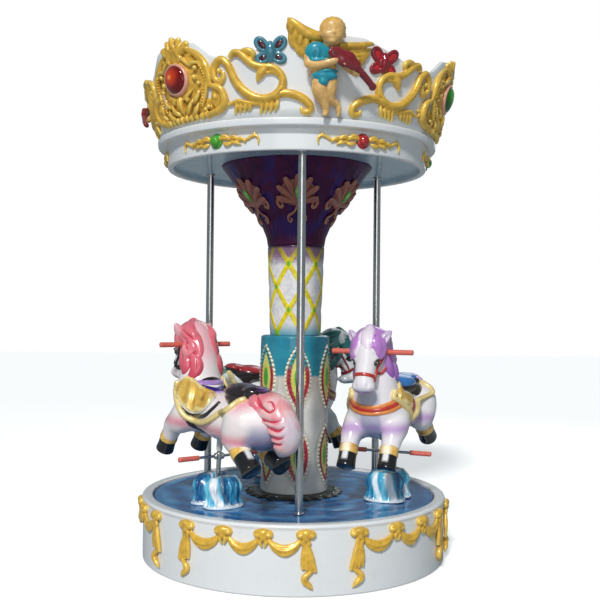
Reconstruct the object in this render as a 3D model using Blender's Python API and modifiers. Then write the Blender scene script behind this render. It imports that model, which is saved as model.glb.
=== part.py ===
"""A small three-seat children's carousel: a festooned base drum, a turning deck with a
column, three steel poles and a crowned canopy, and three horses that rock on struts."""
import math

import bmesh
import bpy
from mathutils import Matrix, Vector

# Directions round the column are angles in degrees, 0 at the front (-Y), growing towards +X.
FACET = 7.5                  # every round wall is a prism with a facet each 7.5 degrees
SEAT_GAP = 0.0003            # space left between touching pieces
RELIEF_GAP = 0.0004          # space left behind a moulding that lies on a wall
THIRDS = (0, 1, 2)

# Base drum, with a raised rim that the deck turns inside
BASE_RADIUS = 0.745
RIM_RADIUS = 0.752
RIM_TOP = 0.303
RIM_INNER = 0.698
TRAY_FLOOR = 0.268

# Turning deck
DECK_RADIUS = 0.692
DECK_TOP = 0.296
DECK_UNDERSIDE = 0.276
BEARING_RADIUS = 0.20

# Column
FLANGE_RADIUS = 0.242
FLANGE_THICKNESS = 0.013
SCALLOPS = 24
PEDESTAL_RADIUS = 0.168
PEDESTAL_TOP = 1.08
SHAFT_TOP = 1.525
SHAFT_FOOT_RADIUS = 0.126
SHAFT_HEAD_RADIUS = 0.140
FUNNEL_RIM_RADIUS = 0.380

# Canopy
SOFFIT = 1.925
LIP_BOTTOM = 1.896
FASCIA_RADIUS = 0.650
LEDGE_BOTTOM = 1.995
LEDGE_TOP = 2.030
LEDGE_RADIUS = 0.696

# Crown wall, a flaring ring in three panels that meet behind the cartouches
CROWN_FOOT_RADIUS = 0.680
CROWN_FLARE = 0.25
CROWN_THICKNESS = 0.018
PEAK_ANGLE = -48.0
CHERUB_ANGLE = 12.0

# Poles
POLE_ANGLE = 2.5
POLE_CIRCLE = 0.515
POLE_RADIUS = 0.0185

# Horses, each on a strut that rocks in the slot of a wave block
HORSE_ANGLE = -48.0
HORSE_CIRCLE = 0.480
HORSE_TOE_IN = 5.0
PIVOT_HEIGHT = 0.380
REST_ROCK = (4.4, 0.0, -4.4)
BLOCK_TOP = 0.445
SLOT_WIDTH = 0.0406
SLOT_LENGTH = 0.066
SLOT_FLOOR = 0.352
STRUT_RADIUS = 0.011
KNUCKLE_RADIUS = 0.017
STRUT_TOP = 0.655
FOOT_BAR_HEIGHT = 0.523
FOOT_BAR_HALF = 0.215
FOOT_GRIP_START = 0.110
HANDLE_FORWARD = 0.262
HANDLE_HEIGHT = 1.016
HANDLE_HALF = 0.195
HANDLE_RADIUS = 0.0125
SADDLE_GAP = 0.0008
HIND_LEGS = (                # side, then forward and height of the hock, cuff and toe
    (1, (-0.262, 0.662), (-0.330, 0.606), (-0.400, 0.554)),
    (-1, (-0.228, 0.636), (-0.276, 0.574), (-0.356, 0.550)))

# Mouldings
GEM_SEAT = 0.030
FESTOON_ANGLE = -17.3
FASCIA_ORNAMENT_ANGLE = -33.6


def direction(angle):
    turn = math.radians(angle)
    return Vector((math.sin(turn), -math.cos(turn), 0))


def clear_scene():
    for obj in list(bpy.data.objects):
        bpy.data.objects.remove(obj, do_unlink=True)


def new_collection(name):
    collection = bpy.data.collections.new(name)
    bpy.context.scene.collection.children.link(collection)
    return collection


clear_scene()
CAROUSEL = new_collection("carousel")
CUTTERS = new_collection("cutters")


def paint(name, colour, roughness, metallic=0.0):
    material = bpy.data.materials.new(name)
    material.use_nodes = True
    shader = material.node_tree.nodes["Principled BSDF"]
    shader.inputs["Base Color"].default_value = (*colour, 1)
    shader.inputs["Roughness"].default_value = roughness
    shader.inputs["Metallic"].default_value = metallic
    return material


def place(obj, material, location=(0, 0, 0), parent=None):
    """Give a finished piece its material, place and parent in the carousel."""
    for collection in list(obj.users_collection):
        collection.objects.unlink(obj)
    CAROUSEL.objects.link(obj)
    obj.data.materials.clear()
    obj.data.materials.append(material)
    obj.data.shade_smooth()
    obj.data.set_sharp_from_angle(angle=math.radians(35))
    obj.location = location
    obj.parent = parent
    return obj


def as_object(name, mesh):
    obj = bpy.data.objects.new(name, mesh)
    CUTTERS.objects.link(obj)
    obj.hide_render = True
    obj.display_type = "WIRE"
    return obj


def baked(obj, name):
    """Turn an object with its modifiers, or a curve, into a plain closed mesh."""
    view = bpy.context.evaluated_depsgraph_get()
    mesh = bpy.data.meshes.new_from_object(obj.evaluated_get(view))
    mesh.transform(obj.matrix_world)
    shell = bmesh.new()
    shell.from_mesh(mesh)
    bmesh.ops.remove_doubles(shell, verts=shell.verts, dist=0.00001)
    shell.to_mesh(mesh)
    shell.free()
    bpy.data.objects.remove(obj, do_unlink=True)
    return as_object(name, mesh)


def copy_of(obj, name):
    return as_object(name, obj.data.copy())


def combine(target, tools, operation, name):
    """Join the tools to a piece, or cut them out of it."""
    for tool in tools:
        boolean = target.modifiers.new(operation, "BOOLEAN")
        boolean.operation = operation
        boolean.solver = "EXACT"
        boolean.object = tool
    bpy.context.view_layer.update()
    result = baked(target, name)
    for tool in tools:
        bpy.data.objects.remove(tool, do_unlink=True)
    return result


def turned(name, profile, steps=48):
    """Turn a profile of (radius, height) points, which runs down its outer side."""
    mesh = bpy.data.meshes.new(name)
    edges = [(i, i + 1) for i in range(len(profile) - 1)]
    mesh.from_pydata([(radius, 0, height) for radius, height in profile], edges, [])
    obj = as_object(name, mesh)
    screw = obj.modifiers.new("turn", "SCREW")
    screw.axis = "Z"
    screw.steps = steps
    screw.render_steps = steps
    screw.use_merge_vertices = True
    screw.merge_threshold = 0.00005
    return baked(obj, name)


def cylinder(name, radius, start, end, segments=12):
    start, end = Vector(start), Vector(end)
    rod = bmesh.new()
    along = end - start
    turn = along.to_track_quat("Z", "Y").to_matrix().to_4x4()
    bmesh.ops.create_cone(rod, cap_ends=True, segments=segments, radius1=radius, radius2=radius,
                          depth=along.length, matrix=Matrix.Translation((start + end) / 2) @ turn)
    mesh = bpy.data.meshes.new(name)
    rod.to_mesh(mesh)
    rod.free()
    return as_object(name, mesh)


def taper(name, start, start_radius, end, end_radius, segments=12):
    """A straight limb with round ends of two sizes."""
    start, end = Vector(start), Vector(end)
    limb = bmesh.new()
    along = end - start
    turn = along.to_track_quat("Z", "Y").to_matrix().to_4x4()
    bmesh.ops.create_cone(limb, cap_ends=True, segments=segments, radius1=start_radius,
                          radius2=end_radius, depth=along.length,
                          matrix=Matrix.Translation((start + end) / 2) @ turn)
    for centre, radius in ((start, start_radius), (end, end_radius)):
        bmesh.ops.create_uvsphere(limb, u_segments=segments, v_segments=segments // 2,
                                  radius=radius, matrix=Matrix.Translation(centre))
    mesh = bpy.data.meshes.new(name)
    limb.to_mesh(mesh)
    limb.free()
    return as_object(name, mesh)


def ball(name, centre, half_sizes, segments=16, tilt=0.0):
    """An ellipsoid; tilt leans it about the Y axis."""
    sphere = bmesh.new()
    bmesh.ops.create_uvsphere(sphere, u_segments=segments, v_segments=segments // 2, radius=1)
    sizes = Matrix.Diagonal((*half_sizes, 1))
    lean = Matrix.Rotation(math.radians(tilt), 4, "Y")
    sphere.transform(Matrix.Translation(centre) @ lean @ sizes)
    mesh = bpy.data.meshes.new(name)
    sphere.to_mesh(mesh)
    sphere.free()
    return as_object(name, mesh)


def box(name, low, high):
    cube = bmesh.new()
    bmesh.ops.create_cube(cube, size=1)
    low, high = Vector(low), Vector(high)
    cube.transform(Matrix.Translation((low + high) / 2) @ Matrix.Diagonal((*(high - low), 1)))
    mesh = bpy.data.meshes.new(name)
    cube.to_mesh(mesh)
    cube.free()
    return as_object(name, mesh)


def smooth_path(points, count):
    """Read a soft curve through a few points at an even count of places."""
    points = [Vector(point) for point in points]
    ends = [2 * points[0] - points[1], *points, 2 * points[-1] - points[-2]]
    path = []
    for step in range(count):
        place_on = step * (len(points) - 1) / (count - 1)
        span = min(int(place_on), len(points) - 2)
        t = place_on - span
        before, start, end, after = ends[span:span + 4]
        path.append(0.5 * (2 * start + (end - before) * t
                           + (2 * before - 5 * start + 4 * end - after) * t * t
                           + (3 * start - before - 3 * end + after) * t ** 3))
    return path


def band(name, points, radii, count, sides=1):
    """A rounded band along a soft curve of (across, height) points, thick and thin."""
    path = smooth_path([(across, 0, height) for across, height in points], count)
    thickness = smooth_path([(radius, 0, 0) for radius in radii], count)
    curve = bpy.data.curves.new(name, "CURVE")
    curve.dimensions = "3D"
    curve.bevel_depth = 1.0
    curve.bevel_resolution = sides
    curve.use_fill_caps = True
    spline = curve.splines.new("POLY")
    spline.points.add(count - 1)
    for point, spot, radius in zip(spline.points, path, thickness):
        point.co = (*spot, 1)
        point.radius = radius.x
    obj = bpy.data.objects.new(name, curve)
    CUTTERS.objects.link(obj)
    bpy.context.view_layer.update()
    return baked(obj, name)


def melted(shapes, voxel, faces, name, soften=3):
    """Melt overlapping shapes into one soft body with about the given count of faces."""
    joined = bmesh.new()
    for shape in shapes:
        joined.from_mesh(shape.data)
        bpy.data.objects.remove(shape, do_unlink=True)
    mesh = bpy.data.meshes.new(name)
    joined.to_mesh(mesh)
    joined.free()
    obj = as_object(name, mesh)
    remesh = obj.modifiers.new("melt", "REMESH")
    remesh.mode = "VOXEL"
    remesh.voxel_size = voxel
    smooth = obj.modifiers.new("soften", "SMOOTH")
    smooth.factor = 0.5
    smooth.iterations = soften
    bpy.context.view_layer.update()
    return thinned(baked(obj, name), faces)


def thinned(obj, faces):
    """Bring a mesh down to about the given count of triangles."""
    triangles = sum(len(face.vertices) - 2 for face in obj.data.polygons)
    thin = obj.modifiers.new("thin", "DECIMATE")
    thin.ratio = min(1.0, faces / triangles)
    bpy.context.view_layer.update()
    return baked(obj, obj.name)


def outline_plate(name, points, thickness):
    """A flat plate cut to a closed outline of (across, height) points, its face towards -Y."""
    curve = bpy.data.curves.new(name, "CURVE")
    curve.dimensions = "2D"
    curve.fill_mode = "BOTH"
    curve.extrude = thickness / 2
    spline = curve.splines.new("POLY")
    spline.points.add(len(points) - 1)
    for point, (across, height) in zip(spline.points, points):
        point.co = (across, height, 0, 1)
    spline.use_cyclic_u = True
    obj = bpy.data.objects.new(name, curve)
    obj.rotation_euler = (math.pi / 2, 0, 0)
    obj.location = (0, -thickness / 2 - RELIEF_GAP, 0)
    CUTTERS.objects.link(obj)
    bpy.context.view_layer.update()
    return baked(obj, name)


# Walls that carry mouldings: the radius of each at a height


def drum_wall(height):
    return BASE_RADIUS


def fascia_wall(height):
    lean = (height - LIP_BOTTOM) / (LEDGE_BOTTOM - LIP_BOTTOM)
    return FASCIA_RADIUS - 0.006 * (1 - lean)


def crown_wall(height):
    return CROWN_FOOT_RADIUS + CROWN_FLARE * (height - LEDGE_TOP)


def wall_point(wall, angle, height, proud=0.0):
    """A point on a faceted wall, or proud of it."""
    start = math.floor(angle / FACET) * FACET
    share = (angle - start) / FACET
    chord = direction(start).lerp(direction(start + FACET), share)
    spot = chord * wall(height) + direction(angle) * proud
    spot.z = height
    return spot


def flat_backed(relief, faces):
    """Cut off what lies behind the wall's face, and leave about the given count of triangles."""
    back = box("back", (-2, -RELIEF_GAP, -1), (2, 2, 4))
    relief = thinned(combine(relief, [back], "DIFFERENCE", relief.name), faces)
    for vert in relief.data.vertices:
        if vert.co.y > -2 * RELIEF_GAP:
            vert.co.y = -RELIEF_GAP
    return relief


def laid_on(relief, wall, angle, scale_height):
    """Lay a flat-backed moulding, drawn facing -Y, on a round wall, centred at an angle."""
    reference = wall(scale_height)
    shape = bmesh.new()
    shape.from_mesh(relief.data)
    across = [vert.co.x for vert in shape.verts]
    low = angle + math.degrees(min(across) / reference)
    high = angle + math.degrees(max(across) / reference)
    fold = math.ceil(low / FACET) * FACET
    while fold < high:
        where = math.radians(fold - angle) * reference
        everything = shape.verts[:] + shape.edges[:] + shape.faces[:]
        bmesh.ops.bisect_plane(shape, geom=everything, dist=0.00002,
                               plane_co=(where, 0, 0), plane_no=(1, 0, 0))
        fold += FACET
    for vert in shape.verts:
        turn = angle + math.degrees(vert.co.x / reference)
        vert.co = wall_point(wall, turn, vert.co.z, -vert.co.y)
    shape.to_mesh(relief.data)
    shape.free()
    return relief


GOLD = paint("gold_paint", (0.78, 0.52, 0.12), 0.35)
WHITE = paint("white_gelcoat", (0.86, 0.87, 0.84), 0.3)
DECK_BLUE = paint("deck_blue", (0.06, 0.21, 0.55), 0.25)
BLACK = paint("black_paint", (0.015, 0.015, 0.017), 0.3)
PURPLE = paint("deep_purple", (0.10, 0.02, 0.10), 0.2)
TEAL = paint("teal_paint", (0.02, 0.33, 0.47), 0.3)
STEEL = paint("stainless_steel", (0.62, 0.62, 0.60), 0.25, 1.0)
WAVE_BLUE = paint("wave_blue", (0.10, 0.45, 0.66), 0.25)
SKIN = paint("cherub_paint", (0.80, 0.52, 0.30), 0.4)
RED_GEM = paint("red_gem", (0.45, 0.02, 0.01), 0.1)
GREEN_GEM = paint("green_gem", (0.08, 0.42, 0.03), 0.1)
GRIP_RED = paint("grip_red", (0.72, 0.20, 0.17), 0.35)
HORSE_PAINTS = (paint("horse_pink", (0.88, 0.66, 0.68), 0.25),
                paint("horse_lilac", (0.80, 0.74, 0.86), 0.25),
                paint("horse_white", (0.84, 0.85, 0.84), 0.25))
SADDLE_PAINTS = (paint("saddle_purple", (0.10, 0.03, 0.14), 0.25),
                 paint("saddle_blue", (0.05, 0.20, 0.52), 0.25),
                 paint("saddle_maroon", (0.20, 0.02, 0.03), 0.25))


def build_base():
    drum = turned("base_drum", [
        (0, TRAY_FLOOR), (RIM_INNER, TRAY_FLOOR), (RIM_INNER + 0.003, RIM_TOP),
        (RIM_RADIUS - 0.008, RIM_TOP), (RIM_RADIUS, RIM_TOP - 0.010),
        (BASE_RADIUS, RIM_TOP - 0.021), (BASE_RADIUS, 0), (0, 0)])
    place(drum, WHITE)
    for number in range(6):
        festoon = build_festoon()
        laid = laid_on(festoon, drum_wall, FESTOON_ANGLE + 60 * number, 0.2)
        laid.name = f"festoon_{number + 1}"
        place(laid, GOLD)


def build_festoon():
    """Three swags between four bows, with a long tail under each end bow."""
    bows = (-0.276, -0.092, 0.092, 0.276)
    bow_height = 0.254
    shapes = []
    for left, right in zip(bows, bows[1:]):
        middle = (left + right) / 2
        shapes.append(band("swag", [(left, bow_height), (middle, bow_height - 0.066),
                                    (right, bow_height)], [0.012, 0.021, 0.012], 9))
    for across in bows:
        shapes.append(ball("bow", (across, 0, bow_height), (0.036, 0.024, 0.024), 12))
    for across, sway in ((bows[0], -0.012), (bows[-1], 0.012)):
        shapes.append(band("tail", [(across, bow_height - 0.02), (across + sway / 2, 0.14),
                                    (across + sway, 0.032)], [0.015, 0.024, 0.012], 7))
    return flat_backed(melted(shapes, 0.008, 600, "festoon", 1), 140)


def build_deck():
    deck = turned("deck", [
        (0, DECK_TOP), (DECK_RADIUS - 0.003, DECK_TOP), (DECK_RADIUS, DECK_TOP - 0.003),
        (DECK_RADIUS, DECK_UNDERSIDE), (BEARING_RADIUS, DECK_UNDERSIDE),
        (BEARING_RADIUS, TRAY_FLOOR + SEAT_GAP), (0, TRAY_FLOOR + SEAT_GAP)])
    place(deck, DECK_BLUE)


def build_column():
    flange_foot = DECK_TOP + SEAT_GAP
    flange_top = flange_foot + FLANGE_THICKNESS
    flange = turned("column_flange", [
        (0, flange_top), (FLANGE_RADIUS, flange_top), (FLANGE_RADIUS, flange_foot),
        (0, flange_foot)], 2 * SCALLOPS)
    for vert in flange.data.vertices:
        around = math.atan2(vert.co.y, vert.co.x)
        scallop = 1 + 0.022 * math.cos(SCALLOPS * around)
        vert.co.x *= scallop
        vert.co.y *= scallop
    place(flange, BLACK)

    foot = flange_top + SEAT_GAP
    pedestal = turned("pedestal", [
        (0, PEDESTAL_TOP), (PEDESTAL_RADIUS - 0.008, PEDESTAL_TOP),
        (PEDESTAL_RADIUS + 0.003, PEDESTAL_TOP - 0.006),
        (PEDESTAL_RADIUS + 0.005, PEDESTAL_TOP - 0.05), (PEDESTAL_RADIUS + 0.006, 0.86),
        (PEDESTAL_RADIUS - 0.002, 0.62), (PEDESTAL_RADIUS - 0.004, 0.45),
        (PEDESTAL_RADIUS + 0.002, foot), (0, foot)], 36)
    place(pedestal, TEAL)

    shaft_foot = PEDESTAL_TOP + SEAT_GAP
    shaft = turned("shaft", [
        (0, SHAFT_TOP), (SHAFT_HEAD_RADIUS, SHAFT_TOP), (SHAFT_HEAD_RADIUS - 0.004, 1.40),
        (SHAFT_FOOT_RADIUS + 0.002, 1.20), (SHAFT_FOOT_RADIUS, shaft_foot), (0, shaft_foot)], 36)
    place(shaft, WHITE)

    funnel_foot = SHAFT_TOP + SEAT_GAP
    funnel_top = SOFFIT - SEAT_GAP
    funnel = turned("funnel", [
        (0, funnel_top), (FUNNEL_RIM_RADIUS, funnel_top), (0.350, 1.885), (0.308, 1.826),
        (0.262, 1.760), (0.214, 1.695), (0.176, 1.632), (0.150, 1.570),
        (SHAFT_HEAD_RADIUS + 0.002, funnel_foot), (0, funnel_foot)], 36)
    place(funnel, PURPLE)


def build_canopy():
    canopy = turned("canopy", [
        (0, LEDGE_TOP), (LEDGE_RADIUS - 0.004, LEDGE_TOP), (LEDGE_RADIUS, LEDGE_TOP - 0.006),
        (LEDGE_RADIUS - 0.004, LEDGE_BOTTOM), (FASCIA_RADIUS, LEDGE_BOTTOM),
        (FASCIA_RADIUS - 0.006, LIP_BOTTOM), (FASCIA_RADIUS - 0.034, LIP_BOTTOM + 0.002),
        (FASCIA_RADIUS - 0.040, SOFFIT), (0, SOFFIT)])
    place(canopy, WHITE)
    for number in range(6):
        ornament = build_fascia_ornament()
        angle = FASCIA_ORNAMENT_ANGLE + 60 * number
        laid = laid_on(ornament, fascia_wall, angle, 1.95)
        laid.name = f"fascia_ornament_{number + 1}"
        place(laid, GREEN_GEM if number % 2 == 0 else RED_GEM)


def build_fascia_ornament():
    """A round gem between two leafy arms."""
    height = 1.949
    shapes = [ball("gem", (0, 0, height), (0.032, 0.028, 0.031), 12)]
    for side in (-1, 1):
        points = [(side * 0.01, height), (side * 0.07, height + 0.008),
                  (side * 0.13, height - 0.008), (side * 0.18, height + 0.002),
                  (side * 0.205, height - 0.014)]
        shapes.append(band("leaf", points, [0.024, 0.020, 0.014, 0.010, 0.008], 9))
    return flat_backed(melted(shapes, 0.006, 400, "ornament", 1), 90)


def panel_top(offset):
    """Height of a crown panel's edge, at an angle from the middle of the panel."""
    levels = ((0, 2.368), (10, 2.364), (15, 2.345), (21, 2.325), (27, 2.302), (34, 2.300),
              (39, 2.285), (44, 2.310), (50, 2.370), (60, 2.400))
    offset = abs(offset)
    for (start, low), (end, high) in zip(levels, levels[1:]):
        if offset <= end:
            return low + (high - low) * (offset - start) / (end - start)
    return levels[-1][1]


def build_crown_panel(middle, name):
    """A third of the crown wall, drawn as an open sheet and thickened inwards."""
    edge = 60 - 0.03
    inner = [fold * FACET for fold in range(math.ceil((middle - edge) / FACET),
                                            math.floor((middle + edge) / FACET) + 1)]
    angles = [middle - edge, *inner, middle + edge]
    rows = 3
    sheet = bmesh.new()
    bmesh.ops.create_grid(sheet, x_segments=len(angles) - 1, y_segments=rows - 1, size=1)
    foot = LEDGE_TOP + SEAT_GAP
    for vert in sheet.verts:
        column = round((vert.co.x + 1) / 2 * (len(angles) - 1))
        rise = (vert.co.y + 1) / 2
        angle = angles[column]
        height = foot + (panel_top(angle - middle) - foot) * rise
        vert.co = wall_point(crown_wall, angle, height)
    bmesh.ops.recalc_face_normals(sheet, faces=sheet.faces)
    mesh = bpy.data.meshes.new(name)
    sheet.to_mesh(mesh)
    sheet.free()
    outward = sum(face.normal.dot(direction(middle)) for face in mesh.polygons)
    if outward < 0:
        mesh.flip_normals()
    panel = as_object(name, mesh)
    solid = panel.modifiers.new("wall", "SOLIDIFY")
    solid.thickness = CROWN_THICKNESS
    solid.offset = -1
    bpy.context.view_layer.update()
    panel = baked(panel, name)
    for vert in panel.data.vertices:
        vert.co.z = max(vert.co.z, foot)
    return place(panel, WHITE)


def build_scroll(side):
    """A rolled volute and a wide C, with a tail that runs to the cherub's feet."""
    def across(offset):
        return side * math.radians(offset) * 0.720

    roll = [(across(-36.6), 2.258), (across(-38.6), 2.236), (across(-40.2), 2.262),
            (across(-38.0), 2.287), (across(-34.2), 2.262), (across(-31.0), 2.190),
            (across(-27.0), 2.126), (across(-22.0), 2.102), (across(-17.5), 2.120),
            (across(-15.6), 2.170), (across(-17.6), 2.215), (across(-20.6), 2.212)]
    roll_radii = [0.012, 0.013, 0.014, 0.015, 0.018, 0.021, 0.023, 0.022, 0.019, 0.017, 0.014, 0.010]
    upper = [(across(-18.0), 2.232), (across(-22.0), 2.252), (across(-26.0), 2.282),
             (across(-29.5), 2.300), (across(-33.0), 2.286)]
    tail = [(across(-20.0), 2.106), (across(-13.0), 2.112), (across(-8.5), 2.092),
            (across(-6.4), 2.060), (across(-8.8), 2.050)]
    shapes = [band("roll", roll, roll_radii, 22),
              band("upper", upper, [0.012, 0.015, 0.015, 0.014, 0.012], 8),
              band("tail", tail, [0.012, 0.016, 0.015, 0.014, 0.010], 9)]
    for middle in (-32.6, -20.0):
        shapes.append(ball("ribs", (across(middle), 0, 2.082), (0.044, 0.018, 0.015), 10,
                           tilt=-8 * side))
    shapes.append(band("stem", [(across(-37.0), 2.092), (across(-27.0), 2.082),
                                (across(-18.0), 2.090)], [0.009, 0.009, 0.009], 7))
    return flat_backed(melted(shapes, 0.007, 900, "scroll", 1), 170)


def build_cartouche():
    """A shield with a scalloped edge and a raised seat for the gem."""
    half = [(0.000, 2.412), (0.045, 2.398), (0.070, 2.372), (0.105, 2.340), (0.150, 2.318),
            (0.186, 2.275), (0.196, 2.225), (0.190, 2.190), (0.232, 2.180), (0.262, 2.140),
            (0.258, 2.100), (0.215, 2.062), (0.150, 2.052), (0.090, 2.040), (0.000, 2.036)]
    mirrored = [(-across, height) for across, height in reversed(half[1:-1])]
    plate = outline_plate("plate", half + mirrored, 0.022)
    shapes = [ball("crest", (0, 0, 2.375), (0.036, 0.034, 0.040), 10)]
    for side in (-1, 1):
        edge = [(side * 0.060, 2.350), (side * 0.130, 2.318), (side * 0.172, 2.262),
                (side * 0.168, 2.190)]
        shapes.append(band("edge", edge, [0.022, 0.026, 0.026, 0.020], 7))
        lobe = [(side * 0.200, 2.165), (side * 0.232, 2.140), (side * 0.215, 2.095),
                (side * 0.130, 2.072), (side * 0.050, 2.062)]
        shapes.append(band("lobe", lobe, [0.022, 0.026, 0.024, 0.020, 0.016], 8))
    rough = flat_backed(melted([plate, *shapes], 0.008, 900, "cartouche", 1), 180)
    seat = cylinder("seat", 0.084, (0, -RELIEF_GAP, 2.225), (0, -GEM_SEAT, 2.225), 14)
    return combine(rough, [seat], "UNION", "cartouche")


def build_gem():
    gem = ball("gem", (0, -GEM_SEAT - SEAT_GAP, 2.225), (0.070, 0.034, 0.072), 12)
    front = box("front", (-1, -GEM_SEAT - SEAT_GAP, 1), (1, 1, 3))
    return combine(gem, [front], "DIFFERENCE", "gem")


def build_cherub():
    """A winged child with a violin, standing against the crown wall."""
    shapes = [
        ball("head", (0.000, -0.075, 2.373), (0.060, 0.058, 0.062), 14),
        ball("chest", (-0.030, -0.060, 2.262), (0.066, 0.046, 0.066), 12),
        ball("hips", (-0.022, -0.055, 2.185), (0.060, 0.044, 0.046), 12),
        taper("thigh_left", (-0.045, -0.045, 2.165), 0.036, (-0.030, -0.045, 2.105), 0.028),
        taper("shin_left", (-0.030, -0.045, 2.105), 0.028, (-0.005, -0.040, 2.052), 0.017),
        taper("thigh_right", (0.002, -0.045, 2.165), 0.036, (0.006, -0.045, 2.105), 0.028),
        taper("shin_right", (0.006, -0.045, 2.105), 0.028, (0.040, -0.040, 2.070), 0.016),
        taper("upper_arm", (-0.085, -0.055, 2.290), 0.028, (-0.075, -0.070, 2.215), 0.024),
        taper("forearm", (-0.075, -0.070, 2.215), 0.024, (0.010, -0.090, 2.222), 0.020),
        ball("violin_body", (0.045, -0.090, 2.262), (0.062, 0.024, 0.040), 12, tilt=35),
        taper("violin_neck", (0.085, -0.090, 2.225), 0.020, (0.165, -0.060, 2.150), 0.014),
        taper("wing_left_arm", (-0.055, -0.030, 2.300), 0.026, (-0.165, -0.030, 2.395), 0.020),
        taper("wing_left_tip", (-0.165, -0.030, 2.395), 0.020, (-0.180, -0.030, 2.425), 0.010),
        taper("wing_left_vane", (-0.080, -0.028, 2.300), 0.030, (-0.145, -0.028, 2.345), 0.030),
        taper("wing_right_arm", (0.060, -0.030, 2.310), 0.026, (0.180, -0.030, 2.335), 0.014),
        taper("wing_right_vane", (0.060, -0.028, 2.285), 0.030, (0.140, -0.028, 2.300), 0.022),
    ]
    return flat_backed(melted(shapes, 0.008, 1400, "cherub", 2), 260)


def build_crown():
    for number in THIRDS:
        middle = CHERUB_ANGLE + 120 * number
        label = number + 1
        build_crown_panel(middle, f"crown_panel_{label}")
        for side, word in ((1, "left"), (-1, "right")):
            scroll = laid_on(build_scroll(side), crown_wall, middle, 2.190)
            scroll.name = f"scroll_{word}_{label}"
            place(scroll, GOLD)
        cherub = laid_on(build_cherub(), crown_wall, middle, 2.190)
        cherub.name = f"cherub_{label}"
        place(cherub, SKIN)

        peak = PEAK_ANGLE + 120 * number
        cartouche = laid_on(build_cartouche(), crown_wall, peak, 2.190)
        cartouche.name = f"cartouche_{label}"
        place(cartouche, GOLD)
        gem = laid_on(build_gem(), crown_wall, peak, 2.190)
        gem.name = f"crown_gem_{label}"
        place(gem, GREEN_GEM if number == 1 else RED_GEM)


def build_poles():
    for number in THIRDS:
        foot = direction(POLE_ANGLE + 120 * number) * POLE_CIRCLE
        pole = cylinder(f"pole_{number + 1}", POLE_RADIUS,
                        (0, 0, DECK_TOP + SEAT_GAP), (0, 0, SOFFIT - SEAT_GAP), 16)
        place(pole, STEEL, foot)


# The horses are drawn with their nose towards +X, their outer side towards +Y


def build_wave_block():
    """A block like two curling waves, with a slot in its top for the strut."""
    foot = DECK_TOP + SEAT_GAP
    block = turned("block", [
        (0, BLOCK_TOP), (0.052, BLOCK_TOP - 0.001), (0.074, BLOCK_TOP - 0.010),
        (0.090, BLOCK_TOP - 0.034), (0.093, BLOCK_TOP - 0.060), (0.086, BLOCK_TOP - 0.096),
        (0.094, foot + 0.018), (0.104, foot), (0, foot)], 20)
    for vert in block.data.vertices:
        around = math.degrees(math.atan2(vert.co.y, vert.co.x))
        from_nose = min(abs(around), 180 - abs(around))
        groove = 0.26 * math.exp(-(from_nose / 16) ** 2)
        spread = 1.10 + 0.10 * math.cos(2 * math.radians(around)) - groove
        vert.co.x *= spread * 1.16
        vert.co.y *= spread * 1.06
    slot = box("slot", (-SLOT_LENGTH / 2, -SLOT_WIDTH / 2, SLOT_FLOOR),
               (SLOT_LENGTH / 2, SLOT_WIDTH / 2, BLOCK_TOP + 0.05))
    return combine(block, [slot], "DIFFERENCE", "block")


def build_horse_body():
    shapes = [
        ball("barrel", (-0.070, 0, 0.715), (0.270, 0.118, 0.115)),
        ball("rump", (-0.310, 0, 0.740), (0.135, 0.126, 0.126)),
        ball("chest", (0.155, 0, 0.738), (0.140, 0.134, 0.138)),
        taper("neck", (0.202, 0, 0.800), 0.108, (0.222, 0, 0.985), 0.082),
        taper("crest", (0.168, 0, 0.930), 0.060, (0.262, 0, 1.088), 0.054),
        taper("head", (0.306, 0, 1.050), 0.062, (0.384, 0, 0.870), 0.050),
        ball("dock", (-0.405, 0, 0.812), (0.084, 0.070, 0.072)),
        taper("tail", (-0.455, 0, 0.790), 0.072, (-0.490, -0.02, 0.720), 0.068),
        taper("tail_tip", (-0.490, -0.02, 0.720), 0.068, (-0.452, -0.03, 0.640), 0.036),
    ]
    for side in (-1, 1):
        shapes += [
            taper("ear", (0.318, side * 0.046, 1.072), 0.024, (0.285, side * 0.074, 1.134), 0.012),
            taper("upper_foreleg", (0.180, side * 0.085, 0.690), 0.070,
                  (0.252, side * 0.098, 0.625), 0.050),
            taper("lower_foreleg", (0.252, side * 0.098, 0.625), 0.048,
                  (0.318, side * 0.096, 0.540), 0.038),
            taper("front_hoof", (0.322, side * 0.096, 0.535), 0.040,
                  (0.338, side * 0.096, 0.500), 0.042),
        ]
    for side, hock, cuff, toe in HIND_LEGS:
        shapes += [
            taper("thigh", (-0.290, side * 0.072, 0.720), 0.092,
                  (hock[0], side * 0.092, hock[1] + 0.010), 0.058),
            taper("shank", (hock[0], side * 0.092, hock[1]), 0.054,
                  (cuff[0], side * 0.096, cuff[1]), 0.040),
            taper("rear_hoof", (cuff[0] - 0.014, side * 0.096, cuff[1] - 0.008), 0.041,
                  (toe[0], side * 0.096, toe[1]), 0.045),
        ]
    return melted(shapes, 0.012, 780, "horse_body")


def inflated(obj, distance, name):
    puff = obj.modifiers.new("puff", "DISPLACE")
    puff.strength = distance
    puff.mid_level = 0
    bpy.context.view_layer.update()
    return baked(obj, name)


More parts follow.
